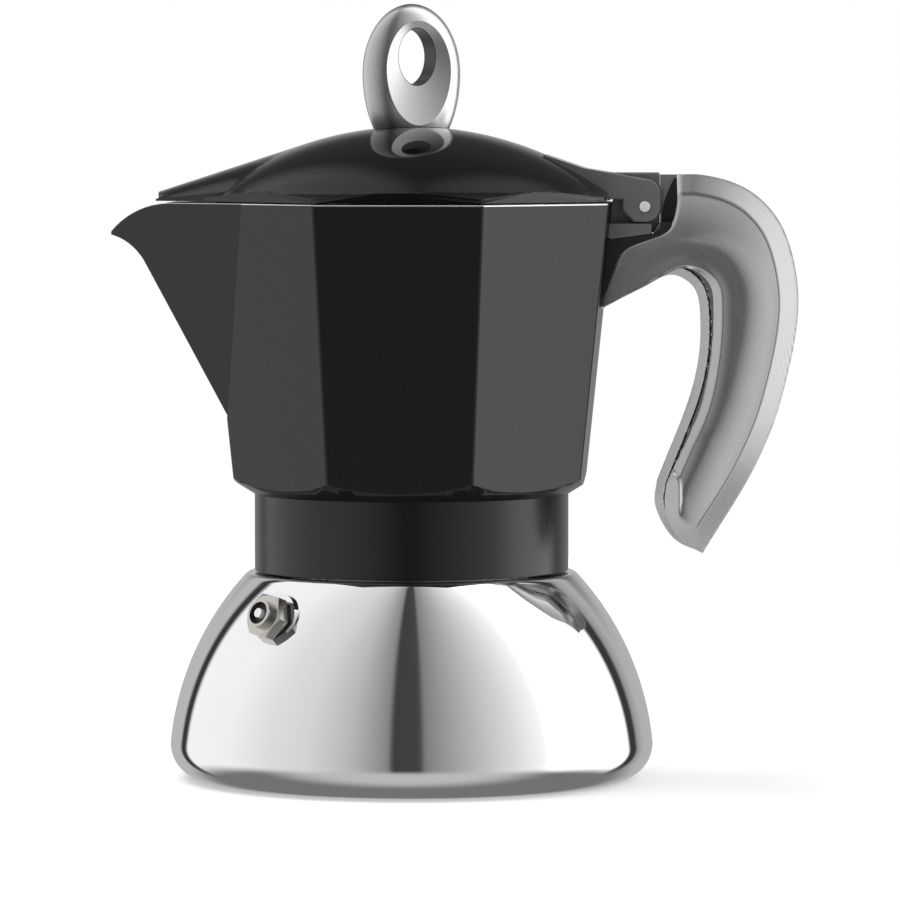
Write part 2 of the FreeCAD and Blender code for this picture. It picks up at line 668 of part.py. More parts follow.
def column():
    """Riser pressed into the collector's floor, with its two outlets below the cap."""
    cap_z = COLUMN_TOP_Z - COLUMN_CAP_T
    low_z = SEAT_Z + INTAKE_DEPTH
    foot_z = FLOOR_Z + SEAT_GAP
    tube = lathe((0, low_z), (COLUMN_SPIGOT_R, low_z), (COLUMN_SPIGOT_R, foot_z), (COLUMN_FOOT_R, foot_z),
                 (COLUMN_TOP_R, cap_z),
                 ((COLUMN_TOP_R * math.sqrt(0.5), COLUMN_TOP_Z - COLUMN_CAP_T * (1 - math.sqrt(0.5))),
                  (0, COLUMN_TOP_Z)))
    window = Part.makeBox(4 * COLUMN_TOP_R, COLUMN_WINDOW_W, COLUMN_WINDOW_H,
                          Vector(-2 * COLUMN_TOP_R, -COLUMN_WINDOW_W / 2, cap_z - COLUMN_WINDOW_H))
    return tube.cut(window).cut(rod(COLUMN_BORE_R, low_z - 1, cap_z))


def collector():
    chamfer_r = COLLAR_R + (RIM_Z - COLLAR_TOP_Z) / CHAMFER_SLOPE
    turned = lathe((0, COLLAR_TOP_Z), (COLLAR_R, COLLAR_TOP_Z), (chamfer_r, RIM_Z), (0, RIM_Z))
    jug = octagon_prism(across_at(COLLAR_TOP_Z), COLLAR_TOP_Z, RIM_AF, RIM_Z).common(turned)
    jug = jug.fuse(spout(0.0, RIM_Z)).cut(spout_rim_cut())
    jug = jug.fuse(rod(COLLAR_R, COLLAR_Z, COLLAR_TOP_Z)).fuse(hinge_arm())
    over_z = RIM_Z + COLLECTOR_WALL
    chamber = octagon_prism(across_at(FLOOR_Z) - 2 * COLLECTOR_WALL, FLOOR_Z,
                            across_at(over_z) - 2 * COLLECTOR_WALL, over_z)
    hollow = chamber.fuse(spout(SPOUT_WALL, over_z))
    jug = jug.cut(hollow)
    jug = jug.cut(rod(COLLAR_BORE_R, COLLAR_Z - 1, GASKET_Z - RUN_GAP))
    jug = jug.cut(rod(GASKET_R + RUN_GAP, GASKET_Z - 1, SEAT_Z))
    intake_r = GASKET_BORE_R - INTAKE_STEP
    jug = jug.cut(lathe((0, SEAT_Z - 1), (intake_r, SEAT_Z - 1), (intake_r, SEAT_Z),
                        (COLUMN_BORE_R, SEAT_Z + INTAKE_DEPTH), (0, SEAT_Z + INTAKE_DEPTH)))
    jug = jug.cut(rod(COLUMN_SPIGOT_R + PIN_GAP, SEAT_Z, FLOOR_Z + 1))
    ridge_z = SHOULDER_Z + THREAD_START + THREAD_PITCH / 2
    ridge = helical_ridge(COLLAR_BORE_R + THREAD_ROOT_SINK, NECK_R + THREAD_TIP_GAP, ridge_z)
    return jug.fuse(ridge)


# Lid and knob

def dome(inset):
    return Part.makeSphere(DOME_R - inset, Vector(0, 0, DOME_Z))


def flared_dome():
    """The dome down to the lid's lower face, its foot flared out to the octagon's corners."""
    foot = (LID_AF / 2 / math.cos(math.pi / 8) + FIT_GAP, LID_Z + LID_RIM_T)
    turn_x = LID_AF / 2 - DOME_FLARE_IN
    turn = (turn_x, DOME_Z + math.sqrt(DOME_R ** 2 - turn_x ** 2))
    way = (turn[0] / DOME_R, (turn[1] - DOME_Z) / DOME_R)
    run = (foot[0] - turn[0], foot[1] - turn[1])
    flare_r = (run[0] ** 2 + run[1] ** 2) / (2 * (run[0] * way[0] + run[1] * way[1]))
    centre = (turn[0] + flare_r * way[0], turn[1] + flare_r * way[1])
    inward = (turn[0] + run[0] / 2 - centre[0], turn[1] + run[1] / 2 - centre[1])
    share = flare_r / math.hypot(inward[0], inward[1])
    through = (centre[0] + share * inward[0], centre[1] + share * inward[1])
    steep = (math.asin(way[1]) + math.pi / 2) / 2
    crown = (DOME_R * math.cos(steep), DOME_Z + DOME_R * math.sin(steep))
    return lathe((0, LID_Z), (foot[0], LID_Z), foot, (through, turn), (crown, (0, DOME_TOP_Z)))


def beak_section(x, half, top_z, drop, low_z):
    """An upright section across the beak: flat sides under a rounded roof."""
    corners = [Vector(x, -half, low_z), Vector(x, -half, top_z - drop), Vector(x, 0, top_z),
               Vector(x, half, top_z - drop), Vector(x, half, low_z)]
    roof = Part.Arc(corners[1], corners[2], corners[3]).toShape()
    sides = [Part.LineSegment(corners[0], corners[1]).toShape(), roof,
             Part.LineSegment(corners[3], corners[4]).toShape(),
             Part.LineSegment(corners[4], corners[0]).toShape()]
    return Part.Wire(sides)


def beak(inset, low_z):
    """The lid's hood over the spout, as a full solid inset from its outside."""
    ridge_z = DOME_Z + math.sqrt(DOME_R ** 2 - BEAK_ROOT_X ** 2) - inset
    end_x = BEAK_END_X + inset
    mid_z = ridge_z + BEAK_SLOPE * (BEAK_MID_X - BEAK_ROOT_X)
    end_z = ridge_z + BEAK_SLOPE * (end_x - BEAK_ROOT_X)
    root_half = BEAK_MID_HALF + BEAK_ROOT_FLARE - inset
    sections = [beak_section(BEAK_ROOT_X, root_half, ridge_z, BEAK_MID_DROP, low_z),
                beak_section(BEAK_MID_X, BEAK_MID_HALF - inset, mid_z, BEAK_MID_DROP, low_z),
                beak_section(end_x, BEAK_END_HALF - inset, end_z, BEAK_END_DROP, low_z)]
    hood = Part.makeLoft(sections[:2], True, True).fuse(Part.makeLoft(sections[1:], True, True))
    round_r = BEAK_END_ROUND - inset
    plan = []
    for side in (-1, 1):
        corner = Part.makeBox(round_r, round_r, FAR, Vector(end_x, 0, 0))
        corner.translate(Vector(0, side * (BEAK_END_HALF - inset) - (round_r if side > 0 else 0), 0))
        middle = Vector(end_x + round_r, side * (BEAK_END_HALF - inset - round_r), 0)
        plan.append(corner.cut(rod(round_r, 0, FAR, base=middle)))
    return hood.cut(plan)


def lid_ears():
    """Rear ridge of the lid with its two ears round the hinge pin."""
    start_x = HINGE_X - RIDGE_LENGTH
    start_z = DOME_Z + math.sqrt(DOME_R ** 2 - start_x ** 2)
    knee = (HINGE_X - RIDGE_KNEE, HINGE_Z + EAR_TOP + EAR_TOP_SLOPE * RIDGE_KNEE)
    low_z = LID_Z + LID_RIM_T / 2
    back_x = HINGE_X - EAR_BACK
    diagonal = EAR_END_R * math.sqrt(0.5)
    end_x = HINGE_X + EAR_END_R
    crown = (HINGE_X + diagonal, HINGE_Z + EAR_TOP - EAR_TOP_ROUND * (1 - math.sqrt(0.5)))
    ears = slab(-EAR_OUT_Y, EAR_OUT_Y, (start_x, low_z), (start_x, start_z), knee,
                (HINGE_X, HINGE_Z + EAR_TOP), (crown, (end_x, HINGE_Z + EAR_TOP - EAR_TOP_ROUND)),
                (end_x, HINGE_Z),
                ((HINGE_X + diagonal, HINGE_Z - diagonal), (HINGE_X, HINGE_Z - EAR_END_R)),
                (HINGE_X - EAR_HEEL, HINGE_Z - EAR_END_R), (back_x, HINGE_Z - EAR_END_R + EAR_HEEL),
                (back_x, low_z))
    return ears.cut(hinge_rod(HINGE_PIN_R + PIN_GAP, FAR))


def lid():
    low_z = LID_Z
    bound = octagon_prism(LID_AF, low_z, LID_AF, DOME_TOP_Z + 1)
    cover = flared_dome().common(bound)
    cover = cover.fuse(beak(0.0, low_z))
    inner = octagon_prism(LID_AF - 2 * LID_WALL, low_z - 1, LID_AF - 2 * LID_WALL, DOME_TOP_Z)
    hollow = dome(LID_WALL).common(inner).fuse(beak(LID_WALL, low_z - 3 * LID_WALL))
    cover = cover.cut(hollow)
    notch = hinge_rod(NOTCH_R, EAR_IN_Y)
    ears = lid_ears().cut(dome(LID_WALL))
    cover = cover.fuse(ears).cut(notch)
    return cover.cut(rod(KNOB_SCREW_R + FIT_GAP, DOME_TOP_Z - 2 * LID_WALL, DOME_TOP_Z + 1))


def turned_knob(shape):
    turned = shape.copy()
    turned.rotate(ORIGIN, Z_AXIS, KNOB_TURN)
    return turned


def half_egg(height, start, end):
    stretch = FreeCAD.Matrix()
    stretch.scale(KNOB_W / 2, KNOB_T / 2, height)
    half = Part.makeSphere(1, ORIGIN, Z_AXIS, start, end, 360).transformGeometry(stretch)
    half.translate(Vector(0, 0, KNOB_WAIST_Z))
    return half


def lid_knob():
    """An egg flattened to the knob's thickness, dished on both faces and pierced."""
    knob = half_egg(KNOB_TOP_Z - KNOB_WAIST_Z, 0, 90).fuse(half_egg(KNOB_LOW, -90, 0))
    for sign in (-1, 1):
        face_y = sign * KNOB_T / 2
        floor_y = sign * (KNOB_T / 2 - DISH_DEPTH)
        knob = knob.cut(Part.makeLoft([ellipse_wire(DISH_W, DISH_H, DISH_Z, face_y),
                                       ellipse_wire(KNOB_HOLE_W, KNOB_HOLE_H, KNOB_HOLE_Z, floor_y)], True))
    hole = Part.Face(ellipse_wire(KNOB_HOLE_W, KNOB_HOLE_H, KNOB_HOLE_Z, -KNOB_T))
    knob = knob.cut(hole.extrude(Vector(0, 2 * KNOB_T, 0)))
    knob = knob.cut(dome(-SEAT_GAP))
    insert_top = DOME_TOP_Z + SEAT_GAP + INSERT_LENGTH
    return turned_knob(knob.cut(rod(INSERT_R + FIT_GAP / 2, DOME_TOP_Z - LID_WALL, insert_top + FIT_GAP)))


def knob_insert():
    low = DOME_TOP_Z + SEAT_GAP
    return ring(INSERT_R, KNOB_SCREW_R + PIN_GAP, low, low + INSERT_LENGTH)


def knob_screw():
    under = DOME_Z + math.sqrt((DOME_R - LID_WALL) ** 2 - KNOB_SCREW_HEAD_R ** 2) - SEAT_GAP
    head = rod(KNOB_SCREW_HEAD_R, under - KNOB_SCREW_HEAD_T, under)
    slot = Part.makeBox(2 * KNOB_SCREW_HEAD_R, SCREW_SLOT_W, KNOB_SCREW_HEAD_T / 2,
                        Vector(-KNOB_SCREW_HEAD_R, -SCREW_SLOT_W / 2, under - KNOB_SCREW_HEAD_T))
    shank = rod(KNOB_SCREW_R, under - KNOB_SCREW_HEAD_T / 4, DOME_TOP_Z + KNOB_SCREW_GRIP)
    return head.cut(slot).fuse(shank)


def hinge_pin():
    return hinge_rod(HINGE_PIN_R, HINGE_END_Y)


# Handle

def bolt_hole(x, z, radius=BOLT_R + FIT_GAP):
    return rod(radius, -FAR / 2, FAR / 2, Y_AXIS, Vector(x, 0, z))


def bolt_places():
    """Two bolts through the tang and one through the grip."""
    tang_z = (TANG_LOW_Z + TANG_TOP_Z) / 2
    places = [(HINGE_X + out, tang_z) for out in TANG_BOLT_OUT]
    return places + [(HINGE_X + GRIP_BOLT_OUT, HINGE_Z - GRIP_BOLT_DROP)]


def from_hinge(points, shift=0.0):
    """Outline points given from the hinge pin, moved out by shift."""
    return tuple((HINGE_X + out + shift, HINGE_Z + up) for out, up in points)


def on_wall(drop, gap):
    """A point beside the collector's rear flat, below the hinge pin."""
    return across_at(HINGE_Z - drop) / 2 + gap, HINGE_Z - drop


def root_edge(shift):
    """The line between the heat guard and the silver handle, moved out by shift."""
    return (on_wall(ROOT_FOOT_DROP, FIT_GAP + shift),) + from_hinge(ROOT_EDGE, shift)


def handle_plate(low_y, high_y, inside, end):
    """A slice of the handle between two distances from its middle plane."""
    front = root_edge(FIT_GAP)
    back = from_hinge(HANDLE_BACK)
    under = (on_wall(HANDLE_FOOT_DROP, 2 * FIT_GAP),) + from_hinge(inside)
    return slab(low_y, high_y, (front[-1][0], HANDLE_TOP_Z), back[0], back,
                from_hinge(end)[::-1], under[::-1], front[0], front)


def core_tongue(grow):
    """The core's front end, which closes the gap behind the hinge lug."""
    half = CORE_T / 2 + grow
    low_z = HINGE_Z + TONGUE_LOW - grow
    behind_x = HINGE_X + HANDLE_BACK[0][0]
    return slab(-half, half, (CORE_FRONT_X - grow, HANDLE_TOP_Z + grow), (behind_x, HANDLE_TOP_Z + grow),
                (behind_x, low_z), (CORE_FRONT_X - grow, low_z + TONGUE_LOW))


def handle_core():
    core = handle_plate(-CORE_T / 2, CORE_T / 2, CORE_INSIDE, CORE_END).fuse(core_tongue(0.0))
    return core.cut(tang(0.0, FIT_GAP)).cut(bolt_hole(*bolt_places()[-1]))


def handle_cheek(side):
    """One outer half of the handle: side is -1 towards -Y and 1 towards +Y."""
    low_y, high_y = sorted((side * (CORE_T / 2 + PIN_GAP), side * HANDLE_T / 2))
    cheek = handle_plate(low_y, high_y, CHEEK_INSIDE, CHEEK_END)
    outer_y = side * HANDLE_T / 2
    rim = []
    for edge in cheek.Edges:
        on_face = abs(edge.CenterOfMass.y - outer_y) < 1e-4
        if on_face and edge.CenterOfMass.x > TANG_END_X:
            rim.append(edge)
    return cheek.makeFillet(CHEEK_EDGE_ROUND, rim)


def handle_cheek_near():
    cheek = handle_cheek(-1)
    blind = -CORE_T / 2 - BOLT_GRIP - FIT_GAP
    for x, z in bolt_places():
        cheek = cheek.cut(rod(BOLT_R + FIT_GAP, blind, 0, Y_AXIS, Vector(x, 0, z)))
    return cheek


def handle_cheek_far():
    cheek = handle_cheek(1)
    seat_y = HANDLE_T / 2 - BOLT_HEAD_DEPTH
    for x, z in bolt_places():
        cheek = cheek.cut(bolt_hole(x, z))
        cheek = cheek.cut(rod(BOLT_HEAD_R + FIT_GAP, seat_y, HANDLE_T, Y_AXIS, Vector(x, 0, z)))
    return cheek


def handle_bolts():
    bolts = []
    seat_y = HANDLE_T / 2 - BOLT_HEAD_DEPTH + SEAT_GAP
    for x, z in bolt_places():
        place = Vector(x, 0, z)
        shank = rod(BOLT_R, -CORE_T / 2 - BOLT_GRIP, seat_y + BOLT_HEAD_T / 2, Y_AXIS, place)
        head = rod(BOLT_HEAD_R, seat_y, seat_y + BOLT_HEAD_T, Y_AXIS, place)
        slot = Part.makeBox(2 * BOLT_HEAD_R, BOLT_HEAD_T / 2, BOLT_R / 2)
        slot.translate(Vector(x - BOLT_HEAD_R, seat_y + BOLT_HEAD_T / 2, z - BOLT_R / 4))
        bolts.append(head.fuse(shank).cut(slot))
    return Part.makeCompound(bolts)


def handle_root():
    """Heat guard that lines the handle's front edge and stands behind the hinge lug."""
    edge = root_edge(0.0)
    front = from_hinge(ROOT_BAND)
    under_arm = (ARM_END_X + FIT_GAP, ARM_LOW_Z - FIT_GAP)
    corner = on_wall(HINGE_Z - ARM_LOW_Z + ARM_RISE + FIT_GAP, FIT_GAP)
    band = slab(-EAR_OUT_Y, EAR_OUT_Y, edge[0], edge, front[-1], front[::-1], under_arm, corner)
    guard = band.cut(core_tongue(FIT_GAP)).cut(tang(0.0, FIT_GAP))
    swept_z = HINGE_Z - EAR_END_R
    for side in (-1, 1):
        low_y, high_y = sorted((side * LUG_HALF, side * HANDLE_T))
        swept = slab(low_y, high_y, (ARM_END_X, swept_z), (TANG_END_X, swept_z), (TANG_END_X, FAR),
                     (ARM_END_X, FAR))
        guard = guard.cut(swept)
    return guard


NODES = (boiler_shell, boiler_base, boiler_liner, boiler_neck, valve_washer, valve_body, valve_plug,
         valve_pin, valve_spring, funnel, funnel_stem, funnel_plate, gasket, filter_plate, collector, column,
         hinge_pin, handle_root, handle_core, handle_cheek_near, handle_cheek_far, handle_bolts, lid,
         lid_knob, knob_insert, knob_screw)


def main():
    os.makedirs("parts", exist_ok=True)
    for make in NODES:
        shape = make()
        if shape.ShapeType == "Compound" and len(shape.Solids) == 1:
            shape = shape.Solids[0]
        box = shape.BoundBox
        corners = (box.XMin, box.YMin, box.ZMin, box.XMax, box.YMax, box.ZMax)
        print(make.__name__, "solids", len(shape.Solids), "valid", shape.isValid(),
              "volume", round(shape.Volume, 1), "box", [round(v, 1) for v in corners])
        shape.exportStep("parts/" + make.__name__ + ".step")


main()
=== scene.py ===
"""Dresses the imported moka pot: smooth meshes for what shows, finishes for every piece, and a white studio."""

import bisect
import json
import math

import bmesh
import bpy
from bpy.props import FloatProperty, FloatVectorProperty, IntProperty, PointerProperty
from mathutils import Matrix, Vector
from mathutils.kdtree import KDTree


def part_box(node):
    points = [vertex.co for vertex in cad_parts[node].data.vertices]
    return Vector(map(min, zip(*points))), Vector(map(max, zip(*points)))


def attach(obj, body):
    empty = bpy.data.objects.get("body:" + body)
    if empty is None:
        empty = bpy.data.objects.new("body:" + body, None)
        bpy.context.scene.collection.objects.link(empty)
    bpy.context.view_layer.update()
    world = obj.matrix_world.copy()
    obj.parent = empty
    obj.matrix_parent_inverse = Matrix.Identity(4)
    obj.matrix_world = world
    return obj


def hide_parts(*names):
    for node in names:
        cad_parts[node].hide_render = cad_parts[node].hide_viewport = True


bl_info = {
    "name": "Moka pot",
    "version": (1, 0, 0),
    "blender": (4, 5, 0),
    "location": "3D View > Sidebar > Moka pot",
    "description": "Builds the looks of a stove-top coffee maker round its packed frame",
    "category": "Object",
}

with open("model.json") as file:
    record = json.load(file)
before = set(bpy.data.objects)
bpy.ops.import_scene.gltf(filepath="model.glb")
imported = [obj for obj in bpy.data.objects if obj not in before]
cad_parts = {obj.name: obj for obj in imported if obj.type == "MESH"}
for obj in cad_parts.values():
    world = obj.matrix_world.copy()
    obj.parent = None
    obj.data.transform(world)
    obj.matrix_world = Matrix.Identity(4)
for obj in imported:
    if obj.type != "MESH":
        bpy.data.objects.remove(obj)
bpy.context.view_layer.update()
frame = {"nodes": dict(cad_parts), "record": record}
MM = 0.001
MERGE = 0.001 * MM
BOILER_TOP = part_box("boiler_shell")[1]
LID_FOOT_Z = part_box("lid")[0].z
PIN_LOW, PIN_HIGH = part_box("hinge_pin")
HINGE = (PIN_LOW + PIN_HIGH) / 2
BASE_DISC_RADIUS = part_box("boiler_base")[1].x


# User settings

def length(name, description, default):
    return FloatProperty(name=name, description=description, default=default, unit="LENGTH", precision=5)


def colour(name, description, default):
    return FloatVectorProperty(name=name, description=description, default=default, subtype="COLOR",
                               min=0.0, max=1.0)


def share(name, description, default):
    return FloatProperty(name=name, description=description, default=default, subtype="FACTOR",
                         min=0.0, max=1.0)


def slope(name, description, default):
    return FloatProperty(name=name, description=description, default=default)


def degrees(name, description, default):
    return FloatProperty(name=name, description=description, default=math.radians(default), subtype="ANGLE")


class BoilerSizes(bpy.types.PropertyGroup):
    base_radius: length("Base radius", "Widest radius of the bell", BOILER_TOP.x)
    height: length("Height", "Height of the bell's shoulder", BOILER_TOP.z)
    foot_round: length("Foot rounding", "Radius of the rounded foot", 6.8 * MM)
    arc_radius: length("Bell arc", "Radius of the bell's curved side", 57.0 * MM)
    shoulder_radius: length("Shoulder radius", "Radius where the bell meets the collar", 32.0 * MM)
    neck_radius: length("Neck hole", "Radius of the hole for the neck", 26.3 * MM)
    wall: length("Wall", "Thickness of the steel", 1.0 * MM)
    disc_gap: length("Disc gap", "Gap round the induction disc", 0.05 * MM)
    shoulder_round: length("Shoulder rounding", "Rounding of the top edge", 0.5 * MM)
    valve_z: length("Valve height", "Height of the valve on the bell", 33.0 * MM)
    pad_radius: length("Pad radius", "Radius of the valve's pad", 5.4 * MM)
    pad_height: length("Pad height", "Height of the valve's pad above the bell", 0.3 * MM)
    pad_depth: length("Pad depth", "How deep the pad reaches into the bell's wall", 2.2 * MM)
    segments: IntProperty(name="Segments", description="Steps round the bell", default=192, min=24, max=512)


class JugSizes(bpy.types.PropertyGroup):
    edge_soft: length("Soft edges", "Rounding of the enamelled edges", 0.30 * MM)
    lid_edge_soft: length("Soft lid edges", "Rounding of the hinge ears' edges", 0.35 * MM)
    hinge_x: length("Hinge start", "Where the hinge's ears and arm start", 39.2 * MM)
    ear_x: length("Ear start", "Where the lid's hinge ears rise from the dome, along X", 24.0 * MM)
    lip_end: length("Lip end", "Where the spout's lip runs into the rim", -31.0 * MM)
    lip_low: length("Lip low", "Lowest point of the spout's lip", 104.0 * MM)
    lip_edge: length("Lip edge", "Width of the lip's bare edge", 0.45 * MM)
    lip_x: length("Spout start", "Where the spout's open lip starts", -38.0 * MM)
    floor_z: length("Floor", "Height of the collector's floor inside", 60.4 * MM)
    rim_z: length("Rim", "Height of the collector's rim", 112.3 * MM)
    chamfer_z: length("Chamfer", "Height of the scalloped chamfer above the collar", 57.0 * MM)


class HandleSizes(bpy.types.PropertyGroup):
    seam: length("Seam", "Distance of the cheek's back from the middle plane", 3.05 * MM)
    face: length("Face", "Distance of the cheek's ridge from the middle plane", 8.3 * MM)
    tip_fall: length("Tip fall", "How much lower the ridge is at the tip", 0.8 * MM)
    band: length("Outer band", "Width of the sloping band along the back", 3.6 * MM)
    scoop: length("Scoop", "Depth of the hollow below the ridge", 1.97 * MM)
    root_scoop: length("Root scoop", "Width of the hollow at the root", 14.0 * MM)
    grip_scoop: length("Grip scoop", "Width of the hollow at the grip", 6.8 * MM)
    tip_width: length("Tip facet", "Width of the facet at its start by the tip", 2.2 * MM)
    tip_step: length("Tip step", "Width of the steep step beside the tip's facet", 0.6 * MM)
    lip: length("Inner lip", "Height of the inner lip above the hollow", 0.25 * MM)
    bevel: length("Inner bevel", "Width of the bevel along the inside", 1.75 * MM)
    blend: length("Blend", "Softness of the ridges", 0.3 * MM)
    core_half: length("Strip half", "Half of the middle strip's thickness", 3.0 * MM)
    core_fall: length("Strip fall", "Fall of the middle strip towards its inner edge", 0.7 * MM)
    core_show: length("Strip width", "Width of the middle strip that shows beside the cheeks", 1.75 * MM)
    core_groove: length("Strip groove", "Depth of the groove between strip and cheeks", 1.4 * MM)
    band_slope: slope("Band slope", "Fall of the outer band for its width", 0.68)
    tip_spread: slope("Tip spread", "How fast the tip's facet widens", 0.16)
    tip_close: slope("Tip close", "How fast the tip's facet closes", 0.26)
    bevel_slope: slope("Bevel slope", "Rise of the inner bevel for its width", 0.36)


class Finishes(bpy.types.PropertyGroup):
    steel: colour("Steel", "Polished boiler steel", (0.93, 0.93, 0.935))
    enamel: colour("Enamel", "Black enamel of the collector", (0.005, 0.005, 0.0055))
    gloss: colour("Lid enamel", "Black enamel of the lid", (0.004, 0.004, 0.0045))
    silver: colour("Silver", "Silver lacquer of handle and knob", (0.72, 0.72, 0.72))
    aluminium: colour("Aluminium", "Bare aluminium inside", (0.78, 0.78, 0.79))
    # Painted shade: this darker aluminium on the spout's inner faces stands in for the shade inside the spout.
    dull: colour("Dull aluminium", "Stained aluminium in the spout", (0.26, 0.26, 0.265))
    nickel: colour("Nickel", "Plated valve pieces", (0.62, 0.60, 0.57))
    pin: colour("Pin steel", "Bright pins and bolts", (0.93, 0.93, 0.94))
    black: colour("Black plastic", "Heat guard", (0.014, 0.014, 0.015))
    # Painted light: the hinge's enamel is the same black enamel, only duller, lightened to the grey that the
    # lit ears and arm show.
    hinge: colour("Hinge enamel", "Duller enamel on the hinge", (0.15, 0.15, 0.153))
    # Painted shade: this near-black colour on the valve plug and in the knob's hole stands in for the shade
    # deep in those recesses.
    recess_shade: colour("Dark brass", "Darkened plug in the valve", (0.05, 0.045, 0.04))
    silicone: colour("Silicone", "White gasket", (0.80, 0.80, 0.78))
    rubber: colour("Rubber", "Valve washer", (0.03, 0.03, 0.03))
    brass: colour("Brass", "Insert in the knob", (0.72, 0.55, 0.26))
    steel_rough: share("Steel roughness", "Roughness of the polish", 0.035)
    enamel_rough: share("Enamel roughness", "Roughness of the collector", 0.28)
    gloss_rough: share("Lid roughness", "Roughness of the lid", 0.035)
    silver_rough: share("Silver roughness", "Roughness of the lacquer", 0.27)


class StudioSizes(bpy.types.PropertyGroup):
    distance: length("Camera distance", "From the camera to the pot's axis", 1.23)
    frame_width: length("Frame width", "Width that the picture shows at the pot", 175.5 * MM)
    aim_x: length("Aim across", "Where the camera aims, across", 7.5 * MM)
    aim_z: length("Aim height", "Where the camera aims, up", 64.0 * MM)
    pitch: degrees("Pitch", "How far the camera looks down", 3.1)
    turn: degrees("Turn", "How far the camera stands round to the handle's side", 3.6)
    floor_radius: length("Floor radius", "Radius of the round floor", 0.6)


SETTINGS = {
    "pot_boiler": BoilerSizes,
    "pot_jug": JugSizes,
    "pot_handle": HandleSizes,
    "pot_finishes": Finishes,
    "pot_studio": StudioSizes,
}


# Shader maths

EVEN = (1.0, 1.0, 1.0)
GENERATED, OBJECT = 0, 3
MIX_FACTOR, MIX_LOW, MIX_HIGH = 0, 6, 7
MIX_COLOUR = 2


class Value:
    """A shader socket that Python sums can be written with."""

    def __init__(self, tree, socket):
        self.tree = tree
        self.socket = socket

    def maths(self, operation, *values):
        settings = {"operation": operation}
        return self.tree.node("ShaderNodeMath", settings, dict(enumerate(values)))[0]

    def __add__(self, other):
        return self.maths("ADD", self, other)

    __radd__ = __add__

    def __sub__(self, other):
        return self.maths("SUBTRACT", self, other)

    def __rsub__(self, other):
        return self.maths("SUBTRACT", other, self)

    def __mul__(self, other):
        return self.maths("MULTIPLY", self, other)

    __rmul__ = __mul__

    def __truediv__(self, other):
        return self.maths("DIVIDE", self, other)

    def __neg__(self):
        return self.maths("MULTIPLY", self, -1.0)

    def swing(self, by):
        """Noise round 0.5 as a change of so much round nothing."""
        return (self - 0.5) * by

    def ramp(self, low, high):
        """0 below low and 1 above high, eased between."""
        settings = {"interpolation_type": "SMOOTHSTEP"}
        inputs = dict(enumerate((self, low, high, 0.0, 1.0)))
        return self.tree.node("ShaderNodeMapRange", settings, inputs)[0]


class Tree:
    """A node tree whose nodes come from one method."""

    def __init__(self, owner):
        self.nodes = owner.node_tree.nodes
        self.links = owner.node_tree.links
        self.nodes.clear()

    def node(self, kind, settings=None, inputs=None):
        made = self.nodes.new(kind)
        for key, value in (settings or {}).items():
            if key == "stops":
                self.set_stops(made.color_ramp, value)
            else:
                setattr(made, key, value)
        for key, value in (inputs or {}).items():
            if isinstance(value, Value):
                self.links.new(value.socket, made.inputs[key])
            else:
                made.inputs[key].default_value = value
        return [Value(self, out) for out in made.outputs]

    @staticmethod
    def set_stops(ramp, stops):
        while len(ramp.elements) < len(stops):
            ramp.elements.new(1.0)
        for element, (place, level) in zip(ramp.elements, stops):
            element.position = place
            element.color = (level, level, level, 1.0)

    def object_coords(self, scale):
        place = self.node("ShaderNodeTexCoord")[OBJECT]
        return self.node("ShaderNodeMapping", {}, {"Vector": place, "Scale": scale})[0]

    def axes(self):
        """The object's own X, Y and Z."""
        return self.node("ShaderNodeSeparateXYZ", {}, {0: self.node("ShaderNodeTexCoord")[OBJECT]})

    def noise(self, size, detail=2.0, scale=EVEN):
        """Grain of about a size in metres, round 0.5."""
        inputs = {"Vector": self.object_coords(scale), "Scale": 1.0 / size, "Detail": detail}
        return self.node("ShaderNodeTexNoise", {}, inputs)[0]

    def mix(self, factor, low, high):
        """A colour between two colours."""
        inputs = {MIX_FACTOR: factor, MIX_LOW: low, MIX_HIGH: high}
        return self.node("ShaderNodeMix", {"data_type": "RGBA"}, inputs)[MIX_COLOUR]

    def shade(self, factor, tint, darkest, lightest):
        """A tint that varies between two strengths."""
        return self.mix(factor, rgba(tint, darkest), rgba(tint, lightest))

    def bump(self, height, distance, strength):
        inputs = {"Height": height, "Distance": distance, "Strength": strength}
        return self.node("ShaderNodeBump", {}, inputs)[0]

    def surface(self, inputs):
        shader = self.node("ShaderNodeBsdfPrincipled", {}, inputs)[0]
        self.node("ShaderNodeOutputMaterial", {}, {0: shader})


def rgba(tint, gain=1.0):
    return (tint[0] * gain, tint[1] * gain, tint[2] * gain, 1.0)


def material(name):
    made = bpy.data.materials.get(name) or bpy.data.materials.new(name)
    made.use_nodes = True
    return made, Tree(made)


def finishes():
    return bpy.context.scene.pot_finishes


# Finishes

STEEL_HAZE_ROUGH = 0.015
LID_CLOUD_ROUGH = 0.02
METAL_CLOUD_ROUGH = 0.08
KNOB_TURN = math.radians(27.6)
KNOB_HOLE_HALF_WIDTH = 3.9 * MM
KNOB_HOLE_HALF_HEIGHT = 5.5 * MM
KNOB_HOLE_Z = 140.5 * MM


def polished_steel():
    """Mirror steel with faint lathe lines."""
    made, tree = material("polished_steel")
    look = finishes()
    lines = tree.noise(size=0.35 * MM, detail=3.0, scale=(0.02, 0.02, 1.0))
    haze = tree.noise(size=18.0 * MM)
    tree.surface({
        "Base Color": tree.shade(haze, look.steel, darkest=0.97, lightest=1.02),
        "Metallic": 1.0,
        "Roughness": look.steel_rough + lines.swing(by=0.02) + haze * STEEL_HAZE_ROUGH,
        "Normal": tree.bump(lines, distance=0.002 * MM, strength=0.4),
    })
    return made


